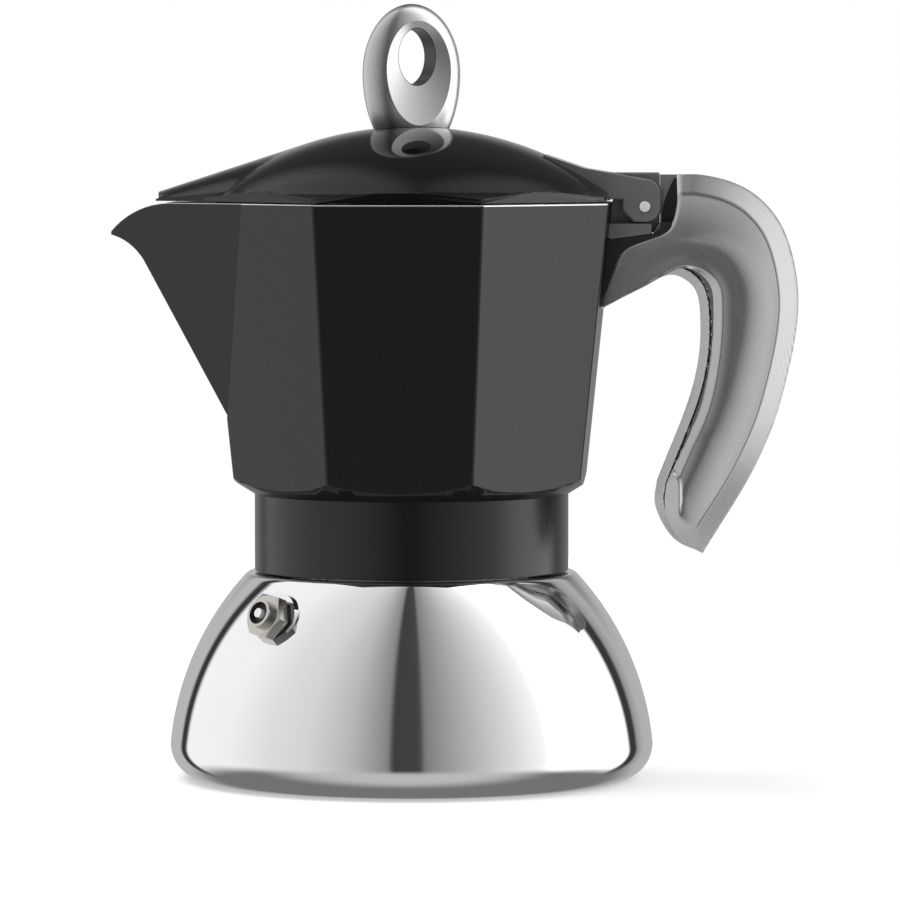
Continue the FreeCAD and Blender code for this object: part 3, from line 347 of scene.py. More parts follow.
def satin_enamel():
    """Black enamel of the cast collector, with a fine orange peel."""
    made, tree = material("satin_enamel")
    look = finishes()
    peel = tree.noise(size=0.9 * MM)
    cloud = tree.noise(size=25.0 * MM)
    tree.surface({
        "Base Color": tree.shade(cloud, look.enamel, darkest=0.85, lightest=1.2),
        "Roughness": look.enamel_rough + cloud.swing(by=0.06) + peel.swing(by=0.05),
        "Normal": tree.bump(peel, distance=0.01 * MM, strength=0.25),
    })
    return made


def gloss_enamel():
    """Deep gloss black of the lid."""
    made, tree = material("gloss_enamel")
    look = finishes()
    peel = tree.noise(size=1.5 * MM)
    cloud = tree.noise(size=20.0 * MM)
    tree.surface({
        "Base Color": tree.shade(cloud, look.gloss, darkest=0.85, lightest=1.2),
        "Roughness": look.gloss_rough + cloud * LID_CLOUD_ROUGH,
        "Normal": tree.bump(peel, distance=0.01 * MM, strength=0.12),
    })
    return made


def silver_lacquer(name, gain):
    """Silver lacquer with metal flakes: the material, its tree and its inputs, for others to add to."""
    made, tree = material(name)
    look = finishes()
    flake = tree.noise(size=0.16 * MM, detail=1.0)
    cloud = tree.noise(size=9.0 * MM)
    sparkle = flake.ramp(low=0.50, high=0.72)
    return made, tree, {
        "Base Color": tree.shade(sparkle, look.silver, darkest=0.95 * gain, lightest=1.12 * gain),
        "Metallic": 1.0,
        "Roughness": look.silver_rough + flake.swing(by=0.05) + cloud.swing(by=0.03),
        "Normal": tree.bump(flake, distance=0.006 * MM, strength=0.25),
    }


def handle_silver():
    """The lacquer on the handle."""
    made, tree, inputs = silver_lacquer("silver_lacquer", gain=1.0)
    tree.surface(inputs)
    return made


def knob_silver():
    """The lacquer on the knob, with painted shade in the wall of its turned oval hole."""
    made, tree, inputs = silver_lacquer("knob_lacquer", gain=0.85)
    across, deep, up = tree.axes()
    turned = across * math.cos(KNOB_TURN) + deep * math.sin(KNOB_TURN)
    wide = turned / KNOB_HOLE_HALF_WIDTH
    high = (up - KNOB_HOLE_Z) / KNOB_HOLE_HALF_HEIGHT
    # Painted shade: the hole's wall takes the recess-shade colour instead of the silver.
    outside = (wide * wide + high * high).ramp(low=1.03, high=1.08)
    inputs["Base Color"] = tree.mix(outside, rgba(finishes().recess_shade), inputs["Base Color"])
    tree.surface(inputs)
    return made


def metal(name, tint, rough, grain, scale=EVEN, metallic=1.0):
    """Bare metal with tool marks."""
    made, tree = material(name)
    marks = tree.noise(size=grain, detail=3.0, scale=scale)
    cloud = tree.noise(size=12.0 * MM)
    tree.surface({
        "Base Color": tree.shade(marks, tint, darkest=0.9, lightest=1.06),
        "Metallic": metallic,
        "Roughness": rough + marks.swing(by=0.12) + cloud * METAL_CLOUD_ROUGH,
        "Normal": tree.bump(marks, distance=0.004 * MM, strength=0.5),
    })
    return made


def soft(name, tint, rough, grain, depth):
    """Plastic, rubber or dull enamel with a fine grain."""
    made, tree = material(name)
    grains = tree.noise(size=grain)
    tree.surface({
        "Base Color": tree.shade(grains, tint, darkest=0.85, lightest=1.15),
        "Roughness": rough + grains.swing(by=0.1),
        "Normal": tree.bump(grains, distance=depth, strength=0.5),
    })
    return made


def make_finishes():
    """Every finish, by the slot, node or surface that it is for."""
    look = finishes()
    return {
        "polished_steel": polished_steel(),
        "satin_steel": metal("satin_steel", look.steel, rough=0.30, grain=0.4 * MM),
        "black_enamel": satin_enamel(),
        "lid_enamel": gloss_enamel(),
        "silver_plastic": handle_silver(),
        "lid_knob": knob_silver(),
        "bare_aluminium": metal("bare_aluminium", look.aluminium, rough=0.30, grain=0.5 * MM,
                                scale=(0.15, 0.15, 1.0)),
        # Painted shade: darker aluminium for the spout's inner faces.
        "spout_shade_aluminium": metal("spout_shade_aluminium", look.dull, rough=0.50, grain=0.5 * MM),
        "nickel_brass": metal("nickel_plate", look.nickel, rough=0.18, grain=0.6 * MM),
        "pin_steel": metal("bright_pin", look.pin, rough=0.25, grain=0.3 * MM, metallic=0.1),
        "spring_steel": metal("drawn_wire", look.nickel, rough=0.32, grain=0.2 * MM),
        "insert_brass": metal("turned_brass", look.brass, rough=0.28, grain=0.3 * MM, scale=(0.2, 0.2, 1.0)),
        # Painted shade: the darkened plug stands in for the shade deep in the valve's bore.
        "dark_brass": metal("dark_brass", look.recess_shade, rough=0.35, grain=0.4 * MM),
        # Painted light: the hinge's duller enamel, with a colour lightened for the light on its ears and arm.
        "hinge_lightened_enamel": soft("hinge_lightened_enamel", look.hinge, rough=0.50, grain=0.6 * MM, depth=0.01 * MM),
        "black_plastic": soft("moulded_black", look.black, rough=0.42, grain=0.5 * MM, depth=0.02 * MM),
        "gasket_silicone": soft("white_silicone", look.silicone, rough=0.55, grain=0.8 * MM, depth=0.01 * MM),
        "seal_rubber": soft("valve_rubber", look.rubber, rough=0.65, grain=0.4 * MM, depth=0.02 * MM),
    }


# Meshes

FLAT_ANGLE = math.radians(0.3)
SOFT_ANGLE = math.radians(20)
SOFT_STEPS = 3
SOFT_ROOM = 4
BELL_SHARP = math.radians(50)
CAST_SHARP = math.radians(18)
HANDLE_SHARP = math.radians(40)


def piece(name, bm, body, nodes, materials):
    """Make an object of a bmesh, ride it on a body and let it stand for CAD nodes."""
    mesh = bpy.data.meshes.new(name)
    bm.normal_update()
    bm.to_mesh(mesh)
    bm.free()
    made = bpy.data.objects.new(name, mesh)
    bpy.context.scene.collection.objects.link(made)
    for finish in materials:
        mesh.materials.append(finish)
    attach(made, body)
    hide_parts(*nodes)
    return made


def smooth(made, angle):
    """Smooth shading that keeps flats flat and edges over an angle sharp."""
    made.data.shade_smooth()
    made.data.set_sharp_from_angle(angle=angle)
    even = made.modifiers.new("even_normals", "WEIGHTED_NORMAL")
    even.keep_sharp = True
    even.weight = 100


def cad_copy(node, wanted=lambda face: True):
    """A merged copy of a CAD node's mesh, the flats among the wanted faces made whole."""
    bm = bmesh.new()
    bm.from_mesh(frame["nodes"][node].data)
    bmesh.ops.remove_doubles(bm, verts=bm.verts, dist=MERGE)
    bm.normal_update()
    picked = {face for face in bm.faces if wanted(face)}
    bmesh.ops.dissolve_limit(bm, angle_limit=FLAT_ANGLE,
                             verts=[vert for vert in bm.verts if picked.issuperset(vert.link_faces)],
                             edges=[edge for edge in bm.edges if picked.issuperset(edge.link_faces)])
    return bm


def roomy(edge, width):
    """True where both faces beside an edge are wide enough for a bevel."""
    reach = edge.calc_length() * SOFT_ROOM * width / 2
    return all(face.calc_area() > reach for face in edge.link_faces)


def sharp(edge, angle_limit):
    """True where an edge's two faces meet at no less than an angle."""
    return len(edge.link_faces) == 2 and edge.calc_face_angle() >= angle_limit


def middle_of(edge):
    return (edge.verts[0].co + edge.verts[1].co) / 2


def soften(bm, width, wanted):
    """Bevel the sharp edges that pass a test on their middle and have room for it."""
    edges = [edge for edge in bm.edges
             if sharp(edge, SOFT_ANGLE) and wanted(middle_of(edge)) and roomy(edge, width)]
    bmesh.ops.bevel(bm, geom=edges, offset=width, offset_type="OFFSET", segments=SOFT_STEPS, profile=0.5,
                    affect="EDGES", clamp_overlap=False, material=-1)
    bmesh.ops.remove_doubles(bm, verts=bm.verts, dist=MERGE)


class Profile:
    """A half section in the XZ plane, drawn line by line and arc by arc, to be spun round Z."""

    def __init__(self, x, z):
        self.bm = bmesh.new()
        self.last = self.bm.verts.new((x, 0.0, z))

    def line(self, x, z):
        end = self.bm.verts.new((x, 0.0, z))
        self.bm.edges.new((self.last, end))
        self.last = end

    def arc(self, x, z, angle, steps):
        """Turn about a centre; a positive angle goes anticlockwise with X right and Z up."""
        turned = bmesh.ops.spin(self.bm, geom=[self.last], cent=(x, 0.0, z), axis=(0.0, -1.0, 0.0),
                                angle=angle, steps=steps, dvec=(0.0, 0.0, 0.0), use_merge=False,
                                use_duplicate=False)
        self.last = [v for v in turned["geom_last"] if isinstance(v, bmesh.types.BMVert)][0]

    def spun(self, segments):
        bm = self.bm
        bmesh.ops.spin(bm, geom=bm.verts[:] + bm.edges[:], cent=(0.0, 0.0, 0.0), axis=(0.0, 0.0, 1.0),
                       angle=2 * math.pi, steps=segments, dvec=(0.0, 0.0, 0.0), use_merge=True,
                       use_duplicate=False)
        bmesh.ops.remove_doubles(bm, verts=bm.verts, dist=MERGE)
        bmesh.ops.recalc_face_normals(bm, faces=bm.faces)
        return bm


# Boiler

FOOT_STEPS, SIDE_STEPS = 18, 48
INNER_FOOT_STEPS, INNER_SIDE_STEPS = 10, 32
PAD_SEGMENTS = 64


def bell_shape(size):
    """The foot's centre, the angle at which its arc meets the side's arc, and the side's centre."""
    foot_x = size.base_radius - size.foot_round
    reach = size.arc_radius - size.foot_round
    across = size.shoulder_radius - foot_x
    up = size.height - size.foot_round
    gap = math.hypot(across, up)
    spread = (size.arc_radius ** 2 - reach ** 2 - gap ** 2) / (2 * reach)
    angle = math.atan2(up, across) - math.acos(spread / gap)
    centre = (foot_x - reach * math.cos(angle), size.foot_round - reach * math.sin(angle))
    return foot_x, angle, centre


def add_valve_pad(bm, size, centre):
    """Add the round pad that the valve is screwed down on."""
    joints = frame["record"]["behaviour"]["joints"]
    axis = Vector([joint["axis"] for joint in joints if joint["name"] == "valve_lift"][0])
    reach = centre[0] + math.sqrt(size.arc_radius ** 2 - (size.valve_z - centre[1]) ** 2)
    out = Vector((axis.x, axis.y, 0.0)).normalized()
    wall = reach * out + Vector((0.0, 0.0, size.valve_z))
    middle = wall + axis * (size.pad_height - size.pad_depth / 2)
    place = Matrix.Translation(middle) @ axis.to_track_quat("Z", "Y").to_matrix().to_4x4()
    bmesh.ops.create_cone(bm, cap_ends=True, segments=PAD_SEGMENTS, radius1=size.pad_radius,
                          radius2=size.pad_radius, depth=size.pad_depth, matrix=place)


class BuildBoiler(bpy.types.Operator):
    """Spin the polished steel bell"""
    bl_idname = "pot.boiler"
    bl_label = "Boiler"

    def execute(self, context):
        size = context.scene.pot_boiler
        looks = make_finishes()
        foot_x, angle, centre = bell_shape(size)
        top = math.asin((size.height - centre[1]) / size.arc_radius)
        disc_edge = BASE_DISC_RADIUS + size.disc_gap
        drawn = Profile(disc_edge, 0.0)
        drawn.line(foot_x, 0.0)
        drawn.arc(foot_x, size.foot_round, math.pi / 2 + angle, FOOT_STEPS)
        drawn.arc(centre[0], centre[1], top - angle - size.shoulder_round / size.arc_radius, SIDE_STEPS)
        drawn.line(drawn.last.co.x - size.shoulder_round, size.height)
        drawn.line(size.neck_radius, size.height)
        drawn.line(size.neck_radius, size.height - size.wall)
        inner = size.arc_radius - size.wall
        inner_top = math.asin((size.height - size.wall - centre[1]) / inner)
        drawn.line(centre[0] + inner * math.cos(inner_top), size.height - size.wall)
        drawn.arc(centre[0], centre[1], angle - inner_top, INNER_SIDE_STEPS)
        drawn.arc(foot_x, size.foot_round, -math.pi / 2 - angle, INNER_FOOT_STEPS)
        drawn.line(disc_edge, size.wall)
        drawn.line(disc_edge, 0.0)
        bm = drawn.spun(size.segments)
        add_valve_pad(bm, size, centre)
        made = piece("boiler_bell", bm, "boiler", ["boiler_shell"],
                     [looks["polished_steel"]])
        smooth(made, BELL_SHARP)
        return {"FINISHED"}


# Collector and lid

COATED, BARE, HINGE_COATED, SPOUT_SHADE = range(4)
JUG_FOOT_Z = 55.6 * MM
JUG_FOOT_HALF = 33.25 * MM
JUG_FLARE = 5.75 / 56.7
JUG_WALL = 1.2 * MM
FLOOR_SLACK = 0.1 * MM
LIP_ANGLE = math.radians(40)
LIP_TOP_RISE, LIP_WALL_OUT = 0.4, 0.2
COLLAR_RADIUS = 29.0 * MM
CHAMFER_HALF = 4.0 * MM
RIM_DEPTH, RIM_END_X, RIM_RISE = 0.5 * MM, 37.0 * MM, 0.15
SOCKET_TOP_Z, SOCKET_RADIUS = 58.0 * MM, 30.0 * MM
SPOUT_RISE, SPOUT_INWARD, SPOUT_OUTWARD = 0.12, -0.1, 0.3
EAR_SIDE = 0.9
LID_EDGE = 1.0 * MM
UNDERSIDE_FALL, UNDERSIDE_INWARD = -0.1, -1e-6


def in_jug(point, size):
    """True inside the collector's bowl, above its floor."""
    across = max(abs(point.x), abs(point.y), (abs(point.x) + abs(point.y)) / math.sqrt(2))
    outside = JUG_FOOT_HALF + (point.z - JUG_FOOT_Z) * JUG_FLARE
    return point.z > size.floor_z - FLOOR_SLACK and across < outside - JUG_WALL


def chamfer_lip(bm, size):
    """Chamfer the outer edge of the spout's lip, where bare metal shows."""
    edges = []
    for edge in bm.edges:
        middle = middle_of(edge)
        if middle.x >= size.lip_end or middle.z <= size.lip_low or not sharp(edge, LIP_ANGLE):
            continue
        top, wall = sorted(edge.link_faces, key=lambda face: -face.normal.z)
        outward = wall.normal.y * middle.y > LIP_WALL_OUT * abs(middle.y)
        if top.normal.z > LIP_TOP_RISE and outward:
            edges.append(edge)
    bmesh.ops.bevel(bm, geom=edges, offset=size.lip_edge, offset_type="OFFSET", segments=1, profile=0.5,
                    affect="EDGES", clamp_overlap=True, material=-1)


def collector_coat(face, size):
    """Which of the collector's finishes a face has."""
    middle = face.calc_center_median()
    outward = face.normal.y * middle.y / max(abs(middle.y), MM)
    # Painted light: the hinge arm takes the lightened hinge enamel.
    if middle.x > size.hinge_x:
        return HINGE_COATED
    # Painted shade: the spout's upward and inward faces that don't face outward take the darker aluminium.
    if middle.x < size.lip_x and (face.normal.z > SPOUT_RISE or outward < SPOUT_INWARD):
        return BARE if outward > SPOUT_OUTWARD else SPOUT_SHADE
    rim = face.normal.z > RIM_RISE and middle.z > size.rim_z - RIM_DEPTH and middle.x < RIM_END_X
    socket = middle.z < SOCKET_TOP_Z and math.hypot(middle.x, middle.y) < SOCKET_RADIUS
    return BARE if in_jug(middle, size) or rim or socket else COATED


class BuildCollector(bpy.types.Operator):
    """Soften the edges of the cast collector and part its enamel from its bare inside"""
    bl_idname = "pot.collector"
    bl_label = "Collector"

    def execute(self, context):
        size = context.scene.pot_jug
        looks = make_finishes()
        bm = cad_copy("collector")

        def shows(point):
            on_chamfer = abs(point.z - size.chamfer_z) <= CHAMFER_HALF
            outside = math.hypot(point.x, point.y) > COLLAR_RADIUS and not on_chamfer
            return outside and point.x > size.lip_x and not in_jug(point, size)

        soften(bm, size.edge_soft, shows)
        bm.normal_update()
        chamfer_lip(bm, size)
        bm.normal_update()
        for face in bm.faces:
            face.material_index = collector_coat(face, size)
        made = piece("collector_jug", bm, "collector", ["collector"],
                     [looks["black_enamel"], looks["bare_aluminium"], looks["hinge_lightened_enamel"],
                      looks["spout_shade_aluminium"]])
        smooth(made, CAST_SHARP)
        return {"FINISHED"}


class BuildLid(bpy.types.Operator):
    """Soften the hinge ears of the gloss black lid and leave its underside bare"""
    bl_idname = "pot.lid"
    bl_label = "Lid"

    def execute(self, context):
        size = context.scene.pot_jug
        looks = make_finishes()

        def ear(face):
            middle = face.calc_center_median()
            return middle.x > size.hinge_x or abs(face.normal.y) > EAR_SIDE and middle.x > size.ear_x

        bm = cad_copy("lid", ear)
        soften(bm, size.lid_edge_soft, lambda point: point.x > size.hinge_x)
        bm.normal_update()
        for face in bm.faces:
            middle = face.calc_center_median()
            inward = face.normal.x * middle.x + face.normal.y * middle.y < UNDERSIDE_INWARD
            under = inward or face.normal.z < UNDERSIDE_FALL
            # Painted light: the hinge ears take the lightened hinge enamel.
            if ear(face):
                face.material_index = HINGE_COATED
            elif under and middle.z > LID_FOOT_Z + LID_EDGE:
                face.material_index = BARE
        made = piece("lid_cover", bm, "lid", ["lid"],
                     [looks["lid_enamel"], looks["bare_aluminium"], looks["hinge_lightened_enamel"]])
        smooth(made, CAST_SHARP)
        return {"FINISHED"}


# Handle: its lines are drawn in millimetres from the hinge pin, across and up

HANDLE_BACK = ((6.15, 6.1), (10.65, 6.0), (17.05, 4.4), (22.15, 1.3), (26.75, -4.9), (29.55, -18.2),
               (26.25, -37.7), (21.35, -50.2), (11.25, -67.2))
CHEEK_INSIDE = ((-8.4, -19.8), (-0.75, -15.7), (7.95, -11.9), (12.35, -14.8), (13.25, -20.6),
                (11.25, -37.0), (4.25, -53.6))
CORE_INSIDE = ((-8.4, -19.8), (-0.75, -15.9), (5.15, -13.3), (9.45, -15.9), (10.65, -24.0), (9.25, -34.6),
               (2.25, -53.3))
ROOT_EDGE = ((-8.4, -19.8), (-8.5, -18.1), (-6.65, -13.3), (-4.35, -8.4), (0.15, -6.3), (4.45, -4.4),
             (6.15, 0.0), (6.15, 6.1))
CHEEK_END = ((4.25, -53.6), (3.9, -57.4), (4.9, -61.5), (7.1, -64.7), (11.25, -67.2))
CORE_END = ((2.25, -53.3), (1.85, -57.5), (3.95, -62.5), (6.6, -65.3), (11.25, -67.2))
TONGUE = ((2.8, 6.1), (8.0, 6.1), (6.0, -2.0), (3.6, -5.4), (1.5, -5.4), (1.5, -3.4), (2.8, -3.2))
CURVE_STEPS = 60
PATCH_ALONG, PATCH_ACROSS = 220, 110
GRIP_START, GRIP_FULL = 0.10, 0.40
TIP_FALL_START, SCOOP_FADE_START = 0.75, 0.78
SCOOP_FADE = 0.5
HOLLOW_LIMIT = 1.5
LIP_SPREAD = 1.5
ROOT_STEEPNESS = 6.0
GROOVE_FULL = 1.2


class Curve:
    """A smooth line through a few points, measured along its length."""

    def __init__(self, points):
        knots = [Vector(p) for p in points]
        knots = [2 * knots[0] - knots[1]] + knots + [2 * knots[-1] - knots[-2]]
        self.points = [knots[1]]
        for a, b, c, d in zip(knots, knots[1:], knots[2:], knots[3:]):
            before = math.sqrt((b - a).length)
            along = math.sqrt((c - b).length)
            after = math.sqrt((d - c).length)
            start = ((b - a) * along / before * along + (c - b) * before) / (before + along)
            end = ((c - b) * after + (d - c) * along / after * along) / (along + after)
            for i in range(1, CURVE_STEPS + 1):
                t = i / CURVE_STEPS
                square, cube = t * t, t * t * t
                self.points.append((2 * cube - 3 * square + 1) * b + (cube - 2 * square + t) * start
                                   + (3 * square - 2 * cube) * c + (cube - square) * end)
        self.marks = [0.0]
        for p, q in zip(self.points, self.points[1:]):
            self.marks.append(self.marks[-1] + (q - p).length)
        self.tree = KDTree(len(self.points))
        for i, point in enumerate(self.points):
            self.tree.insert((point.x, point.y, 0.0), i)
        self.tree.balance()

    def near(self, spot):
        """How far a place is from the line, in metres."""
        return self.tree.find((spot.x, spot.y, 0.0))[2] * MM

    def at(self, share_along):
        """The point at a share of the line's length."""
        wanted = share_along * self.marks[-1]
        i = min(max(bisect.bisect_left(self.marks, wanted), 1), len(self.marks) - 1)
        step = (wanted - self.marks[i - 1]) / (self.marks[i] - self.marks[i - 1])
        return self.points[i - 1].lerp(self.points[i], step)


def ease(low, high, value):
    """0 below low and 1 above high, eased between."""
    t = min(max((value - low) / (high - low), 0.0), 1.0)
    return t * t * (3 - 2 * t)


def least(first, second, blend):
    """The lower of two heights, with the corner between them rounded."""
    mix = max(blend - abs(first - second), 0.0) / blend
    return min(first, second) - mix * mix * blend / 4


class Patch:
    """The patch between the handle's inner and outer lines, from its root to its tip."""

    def __init__(self, size, inside, end):
        self.size = size
        self.inner = Curve(inside)
        self.outer = Curve(HANDLE_BACK)
        self.root = Curve(ROOT_EDGE)
        self.tip = Curve(end)

    def place(self, u, v):
        """Point of the patch: u runs along the handle and v across it."""
        inner, outer = self.inner.at(u), self.outer.at(u)
        root, tip = self.root.at(v), self.tip.at(v)
        corners = ((1 - u) * (1 - v) * self.inner.at(0) + u * (1 - v) * self.inner.at(1)
                   + (1 - u) * v * self.outer.at(0) + u * v * self.outer.at(1))
        return (1 - v) * inner + v * outer + (1 - u) * root + u * tip - corners

    def mesh(self, seam):
        """A grid laid on the patch's near face, with its edge drawn back to a seam."""
        bm = bmesh.new()
        bmesh.ops.create_grid(bm, x_segments=PATCH_ALONG, y_segments=PATCH_ACROSS, size=0.5)
        for vert in bm.verts:
            u, v = vert.co.x + 0.5, vert.co.y + 0.5
            spot = self.place(u, v)
            vert.co = Vector((HINGE.x + spot.x * MM, -self.depth(spot, u), HINGE.z + spot.y * MM))
        rim = [edge for edge in bm.edges if edge.is_boundary]
        for vert in bmesh.ops.extrude_edge_only(bm, edges=rim)["geom"]:
            if isinstance(vert, bmesh.types.BMVert):
                vert.co.y = -seam
        return bm


class Cheek(Patch):
    """An outer half of the handle: a band along the back, a hollow and a bevel along the inside."""

    def depth(self, spot, u):
        """Distance of the face from the middle plane, in metres."""
        size = self.size
        back, inside = self.outer.near(spot), min(self.inner.near(spot), self.tip.near(spot))
        grip = ease(GRIP_START, GRIP_FULL, u)
        face = size.face - size.tip_fall * ease(TIP_FALL_START, 1.0, u)
        width = size.root_scoop + (size.grip_scoop - size.root_scoop) * grip
        hollow = min(max(1.0 - (back - size.band) / width, 0.0), HOLLOW_LIMIT)
        lip = max(1.0 - max(inside - size.bevel, 0.0) / (LIP_SPREAD * size.bevel), 0.0)
        depth = size.scoop * (1.0 - SCOOP_FADE * ease(SCOOP_FADE_START, 1.0, u))
        scoop = face - depth * (1.0 - hollow ** 2) + size.lip * lip ** 2 * grip
        band = face - size.band_slope * (size.band - back)
        body = least(scoop, band, size.blend)
        low = size.face - size.scoop + size.lip - size.bevel_slope * size.bevel
        steep = size.bevel_slope * (1.0 + ROOT_STEEPNESS * (1.0 - grip))
        body = least(body, low + steep * inside, size.blend / 2)
        facet = self.tip_facet(spot)
        body += facet * (min(low + size.bevel_slope * self.tip.near(spot), band) - body)
        round_off = math.sqrt(min(self.root.near(spot) / (2 * size.blend), 1.0))
        return body - size.blend * (1.0 - round_off)

    def tip_facet(self, spot):
        """1 on the facet that ends the grip, falling steeply to 0 beside it."""
        size = self.size
        left = (spot - self.tip.points[-1]).length * MM
        whole = (self.tip.points[0] - self.tip.points[-1]).length * MM
        width = min(size.tip_width + size.tip_spread * max(whole - left, 0.0), size.tip_close * left)
        return 1.0 - ease(width, width + size.tip_step, self.tip.near(spot))


class Strip(Patch):
    """The strip between the cheeks, sloped where it shows along the inside, with a groove beside them."""

    def depth(self, spot, u):
        """Distance of the face from the middle plane, in metres."""
        size = self.size
        inside = min(self.inner.near(spot), self.tip.near(spot))
        shown = size.core_half - size.core_fall * (1.0 - min(inside / size.core_show, 1.0))
        return shown - size.core_groove * ease(size.core_show, GROOVE_FULL * size.core_show, inside)


def close_seam(bm):
    """Close the back of a cheek along its seam."""
    bmesh.ops.contextual_create(bm, geom=[edge for edge in bm.edges if edge.is_boundary])


def mirrored(bm, merge):
    """Add a mesh's mirror image across the handle's middle plane."""
    bmesh.ops.mirror(bm, geom=bm.verts[:] + bm.edges[:] + bm.faces[:], axis="Y", merge_dist=merge)


def add_tongue(bm, half):
    """Add the strip's front end, which shows behind the hinge."""
    spots = [bm.verts.new((HINGE.x + x * MM, -half, HINGE.z + z * MM)) for x, z in TONGUE]
    side = bm.faces.new(spots)
    drawn = bmesh.ops.extrude_face_region(bm, geom=[side], use_keep_orig=True)["geom"]
    far = [vert for vert in drawn if isinstance(vert, bmesh.types.BMVert)]
    bmesh.ops.translate(bm, verts=far, vec=(0.0, 2 * half, 0.0))


class BuildHandle(bpy.types.Operator):
    """Shape the scooped cheeks and the strip between them"""
    bl_idname = "pot.handle"
    bl_label = "Handle"

    def execute(self, context):
        size = context.scene.pot_handle
        silver = [make_finishes()["silver_plastic"]]
        cheek = Cheek(size, CHEEK_INSIDE, CHEEK_END)
        for side, name in ((-1, "handle_cheek_near"), (1, "handle_cheek_far")):
            bm = cheek.mesh(size.seam)
            close_seam(bm)
            for vert in bm.verts:
                vert.co.y *= -side
            bmesh.ops.recalc_face_normals(bm, faces=bm.faces)
            made = piece(name + "_shaped", bm, "collector", [name], silver)
            smooth(made, HANDLE_SHARP)
        bm = Strip(size, CORE_INSIDE, CORE_END).mesh(0.0)
        mirrored(bm, MERGE)
        add_tongue(bm, size.core_half)
        bmesh.ops.recalc_face_normals(bm, faces=bm.faces)
        made = piece("handle_strip", bm, "collector", ["handle_core"], silver)
        smooth(made, HANDLE_SHARP)
        return {"FINISHED"}


# Finishes of the CAD nodes

class PaintNodes(bpy.types.Operator):
    """Give every CAD node its own finish or that of its slot"""
    bl_idname = "pot.paint"
    bl_label = "Finishes"

    def execute(self, context):
        looks = make_finishes()
        for row in frame["record"]["subparts"]:
            node = frame["nodes"][row["node"]]
            node.material_slots[0].link = "OBJECT"
            node.material_slots[0].material = looks.get(row["node"]) or looks[row["material_slot"]]
        return {"FINISHED"}


# Studio: brightness round the horizon, by degrees from the front, lights the pot like a tent of panels

SKY = ((-180, 0.46), (-141, 0.50), (-138, 0.04), (-133, 0.04), (-130, 0.97), (-95, 0.93), (-69, 0.78),
       (-47, 0.70), (-26, 0.51), (-7.5, 0.25), (-5.0, 0.05), (8.0, 0.06), (10.5, 0.22), (32, 0.46),
       (53, 0.73), (70, 1.0), (84, 1.9), (126, 1.9), (130, 1.0), (132, 0.04), (138, 0.04), (141, 0.32),
       (150, 0.45), (180, 0.46))
SKY_PEAK = 2.0
CEILING = 0.10
CEILING_FADE = (0.10, 0.45)
CEILING_BACK = (0.20, 0.45)
CEILING_WIDTH = 1.2
GROUND_SIDE, GROUND_FRONT = 0.18, 0.34
GROUND_FADE = (0.30, 0.60)
GROUND_TURN = (0.0, 0.6)
LAMP_SIZE = 1.2
LAMP_ENERGY = 9.0
LAMP_PLACE = Vector((-0.45, 0.10, 1.15))
LAMP_AIM = Vector((0.0, 0.0, 0.06))
FLOOR_SEGMENTS = 96
FLOOR_PAPER = (0.86, 0.86, 0.86, 1.0)
FLOOR_GLOW = 0.28
WHITE = (1.0, 1.0, 1.0, 1.0)
SENSOR_WIDTH = 36.0
CLIP_START, CLIP_END = 0.05, 20.0


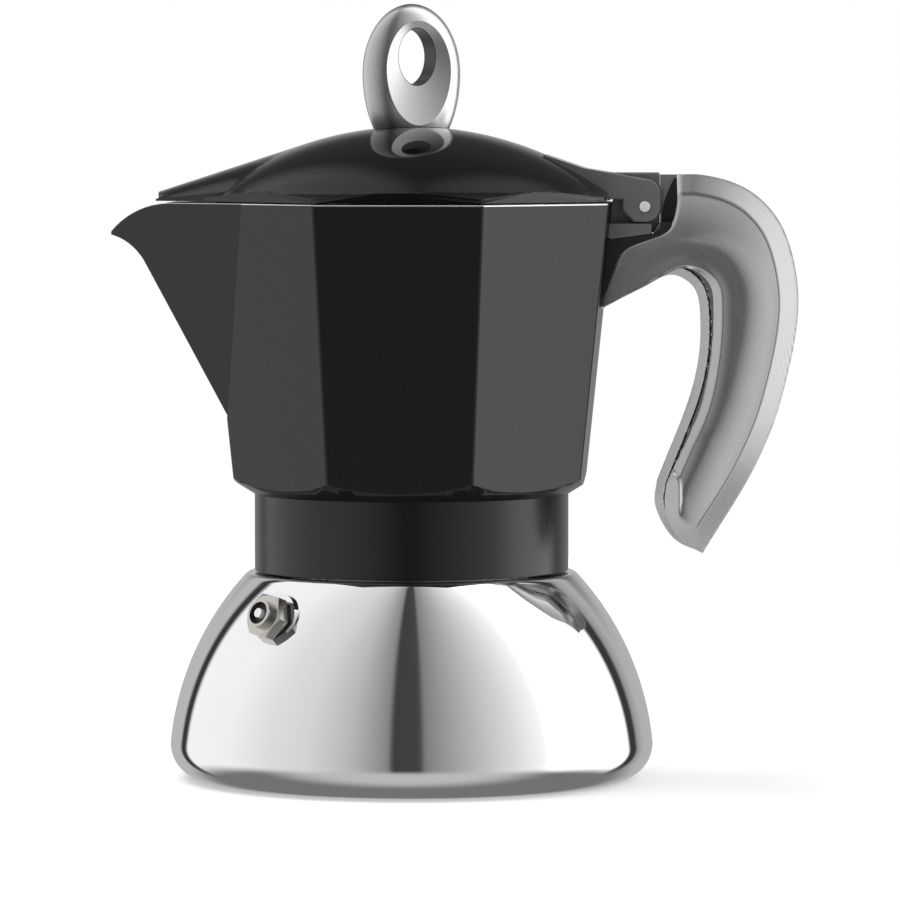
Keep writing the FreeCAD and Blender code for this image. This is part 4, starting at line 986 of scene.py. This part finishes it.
class BuildStudio(bpy.types.Operator):
    """Set up the white studio, its floor and the camera"""
    bl_idname = "pot.studio"
    bl_label = "Studio"

    def execute(self, context):
        scene = context.scene
        size = scene.pot_studio
        self.light(scene)
        self.lay_floor(scene, size)
        self.aim_camera(scene, size)
        scene.view_settings.view_transform = "Standard"
        return {"FINISHED"}

    def light(self, scene):
        world = bpy.data.worlds.new("studio_tent")
        world.use_nodes = True
        scene.world = world
        tree = Tree(world)
        way = tree.node("ShaderNodeSeparateXYZ", {}, {0: tree.node("ShaderNodeTexCoord")[GENERATED]})
        turn = way[0].maths("ARCTAN2", way[0], -way[1]) / (2 * math.pi) + 0.5
        stops = [((angle + 180) / 360, level / SKY_PEAK) for angle, level in SKY]
        walls = tree.node("ShaderNodeValToRGB", {"stops": stops}, {0: turn})[0] * SKY_PEAK
        behind = (way[1] - CEILING_WIDTH * way[0].maths("ABSOLUTE", way[0])).ramp(*CEILING_BACK)
        above = way[2].ramp(*CEILING_FADE) * behind
        below = (-way[2]).ramp(*GROUND_FADE)
        ground = GROUND_SIDE + GROUND_FRONT * (-way[1]).ramp(*GROUND_TURN)
        tent = walls * (1.0 - above) * (1.0 - below) + CEILING * above + ground * below
        seen = tree.node("ShaderNodeLightPath")[0]
        level = tent * (1.0 - seen) + seen
        glow = tree.node("ShaderNodeBackground", {}, {0: level, 1: 1.0})[0]
        tree.node("ShaderNodeOutputWorld", {}, {0: glow})
        lamp = bpy.data.lights.new("top_softbox", "AREA")
        lamp.shape = "DISK"
        lamp.size = LAMP_SIZE
        lamp.energy = LAMP_ENERGY
        top = bpy.data.objects.new("top_softbox", lamp)
        top.location = LAMP_PLACE
        top.rotation_euler = (LAMP_AIM - LAMP_PLACE).to_track_quat("-Z", "Y").to_euler()
        top.visible_glossy = False
        scene.collection.objects.link(top)

    def lay_floor(self, scene, size):
        bm = bmesh.new()
        bmesh.ops.create_circle(bm, cap_ends=True, segments=FLOOR_SEGMENTS, radius=size.floor_radius)
        mesh = bpy.data.meshes.new("floor")
        bm.to_mesh(mesh)
        bm.free()
        floor = bpy.data.objects.new("floor", mesh)
        floor.visible_glossy = False
        scene.collection.objects.link(floor)
        made, tree = material("white_floor")
        seen = tree.node("ShaderNodeLightPath")[0]
        paper = tree.node("ShaderNodeBsdfDiffuse", {}, {0: FLOOR_PAPER})[0]
        glow = tree.node("ShaderNodeEmission", {}, {0: WHITE, 1: seen * FLOOR_GLOW})[0]
        both = tree.node("ShaderNodeAddShader", {}, {0: paper, 1: glow})[0]
        tree.node("ShaderNodeOutputMaterial", {}, {0: both})
        mesh.materials.append(made)

    def aim_camera(self, scene, size):
        lens = bpy.data.cameras.new("camera")
        lens.sensor_width = SENSOR_WIDTH
        lens.lens = lens.sensor_width * size.distance / size.frame_width
        lens.clip_start = CLIP_START
        lens.clip_end = CLIP_END
        camera = bpy.data.objects.new("camera", lens)
        aim = Vector((size.aim_x, 0.0, size.aim_z))
        level = math.cos(size.pitch)
        back = Vector((math.sin(size.turn) * level, -math.cos(size.turn) * level, math.sin(size.pitch)))
        camera.location = aim + back * size.distance
        camera.rotation_euler = (-back).to_track_quat("-Z", "Y").to_euler()
        scene.collection.objects.link(camera)
        scene.camera = camera


class PotPanel(bpy.types.Panel):
    """Lists the pot's pieces and settings"""
    bl_idname = "VIEW3D_PT_moka_pot"
    bl_label = "Moka pot"
    bl_space_type = "VIEW_3D"
    bl_region_type = "UI"
    bl_category = "Moka pot"

    def draw(self, context):
        for step in STEPS:
            self.layout.operator(step.bl_idname)
        for name, group in SETTINGS.items():
            box = self.layout.box()
            for key in group.__annotations__:
                box.prop(getattr(context.scene, name), key)


STEPS = (PaintNodes, BuildBoiler, BuildCollector, BuildLid, BuildHandle, BuildStudio)
CLASSES = tuple(SETTINGS.values()) + STEPS + (PotPanel,)


def register():
    for made in CLASSES:
        bpy.utils.register_class(made)
    for name, group in SETTINGS.items():
        setattr(bpy.types.Scene, name, PointerProperty(type=group))


def unregister():
    for name in SETTINGS:
        delattr(bpy.types.Scene, name)
    for made in reversed(CLASSES):
        bpy.utils.unregister_class(made)


def main():
    register()
    for step in STEPS:
        getattr(bpy.ops.pot, step.bl_idname.split(".")[1])()


if __name__ == "__main__":
    main()
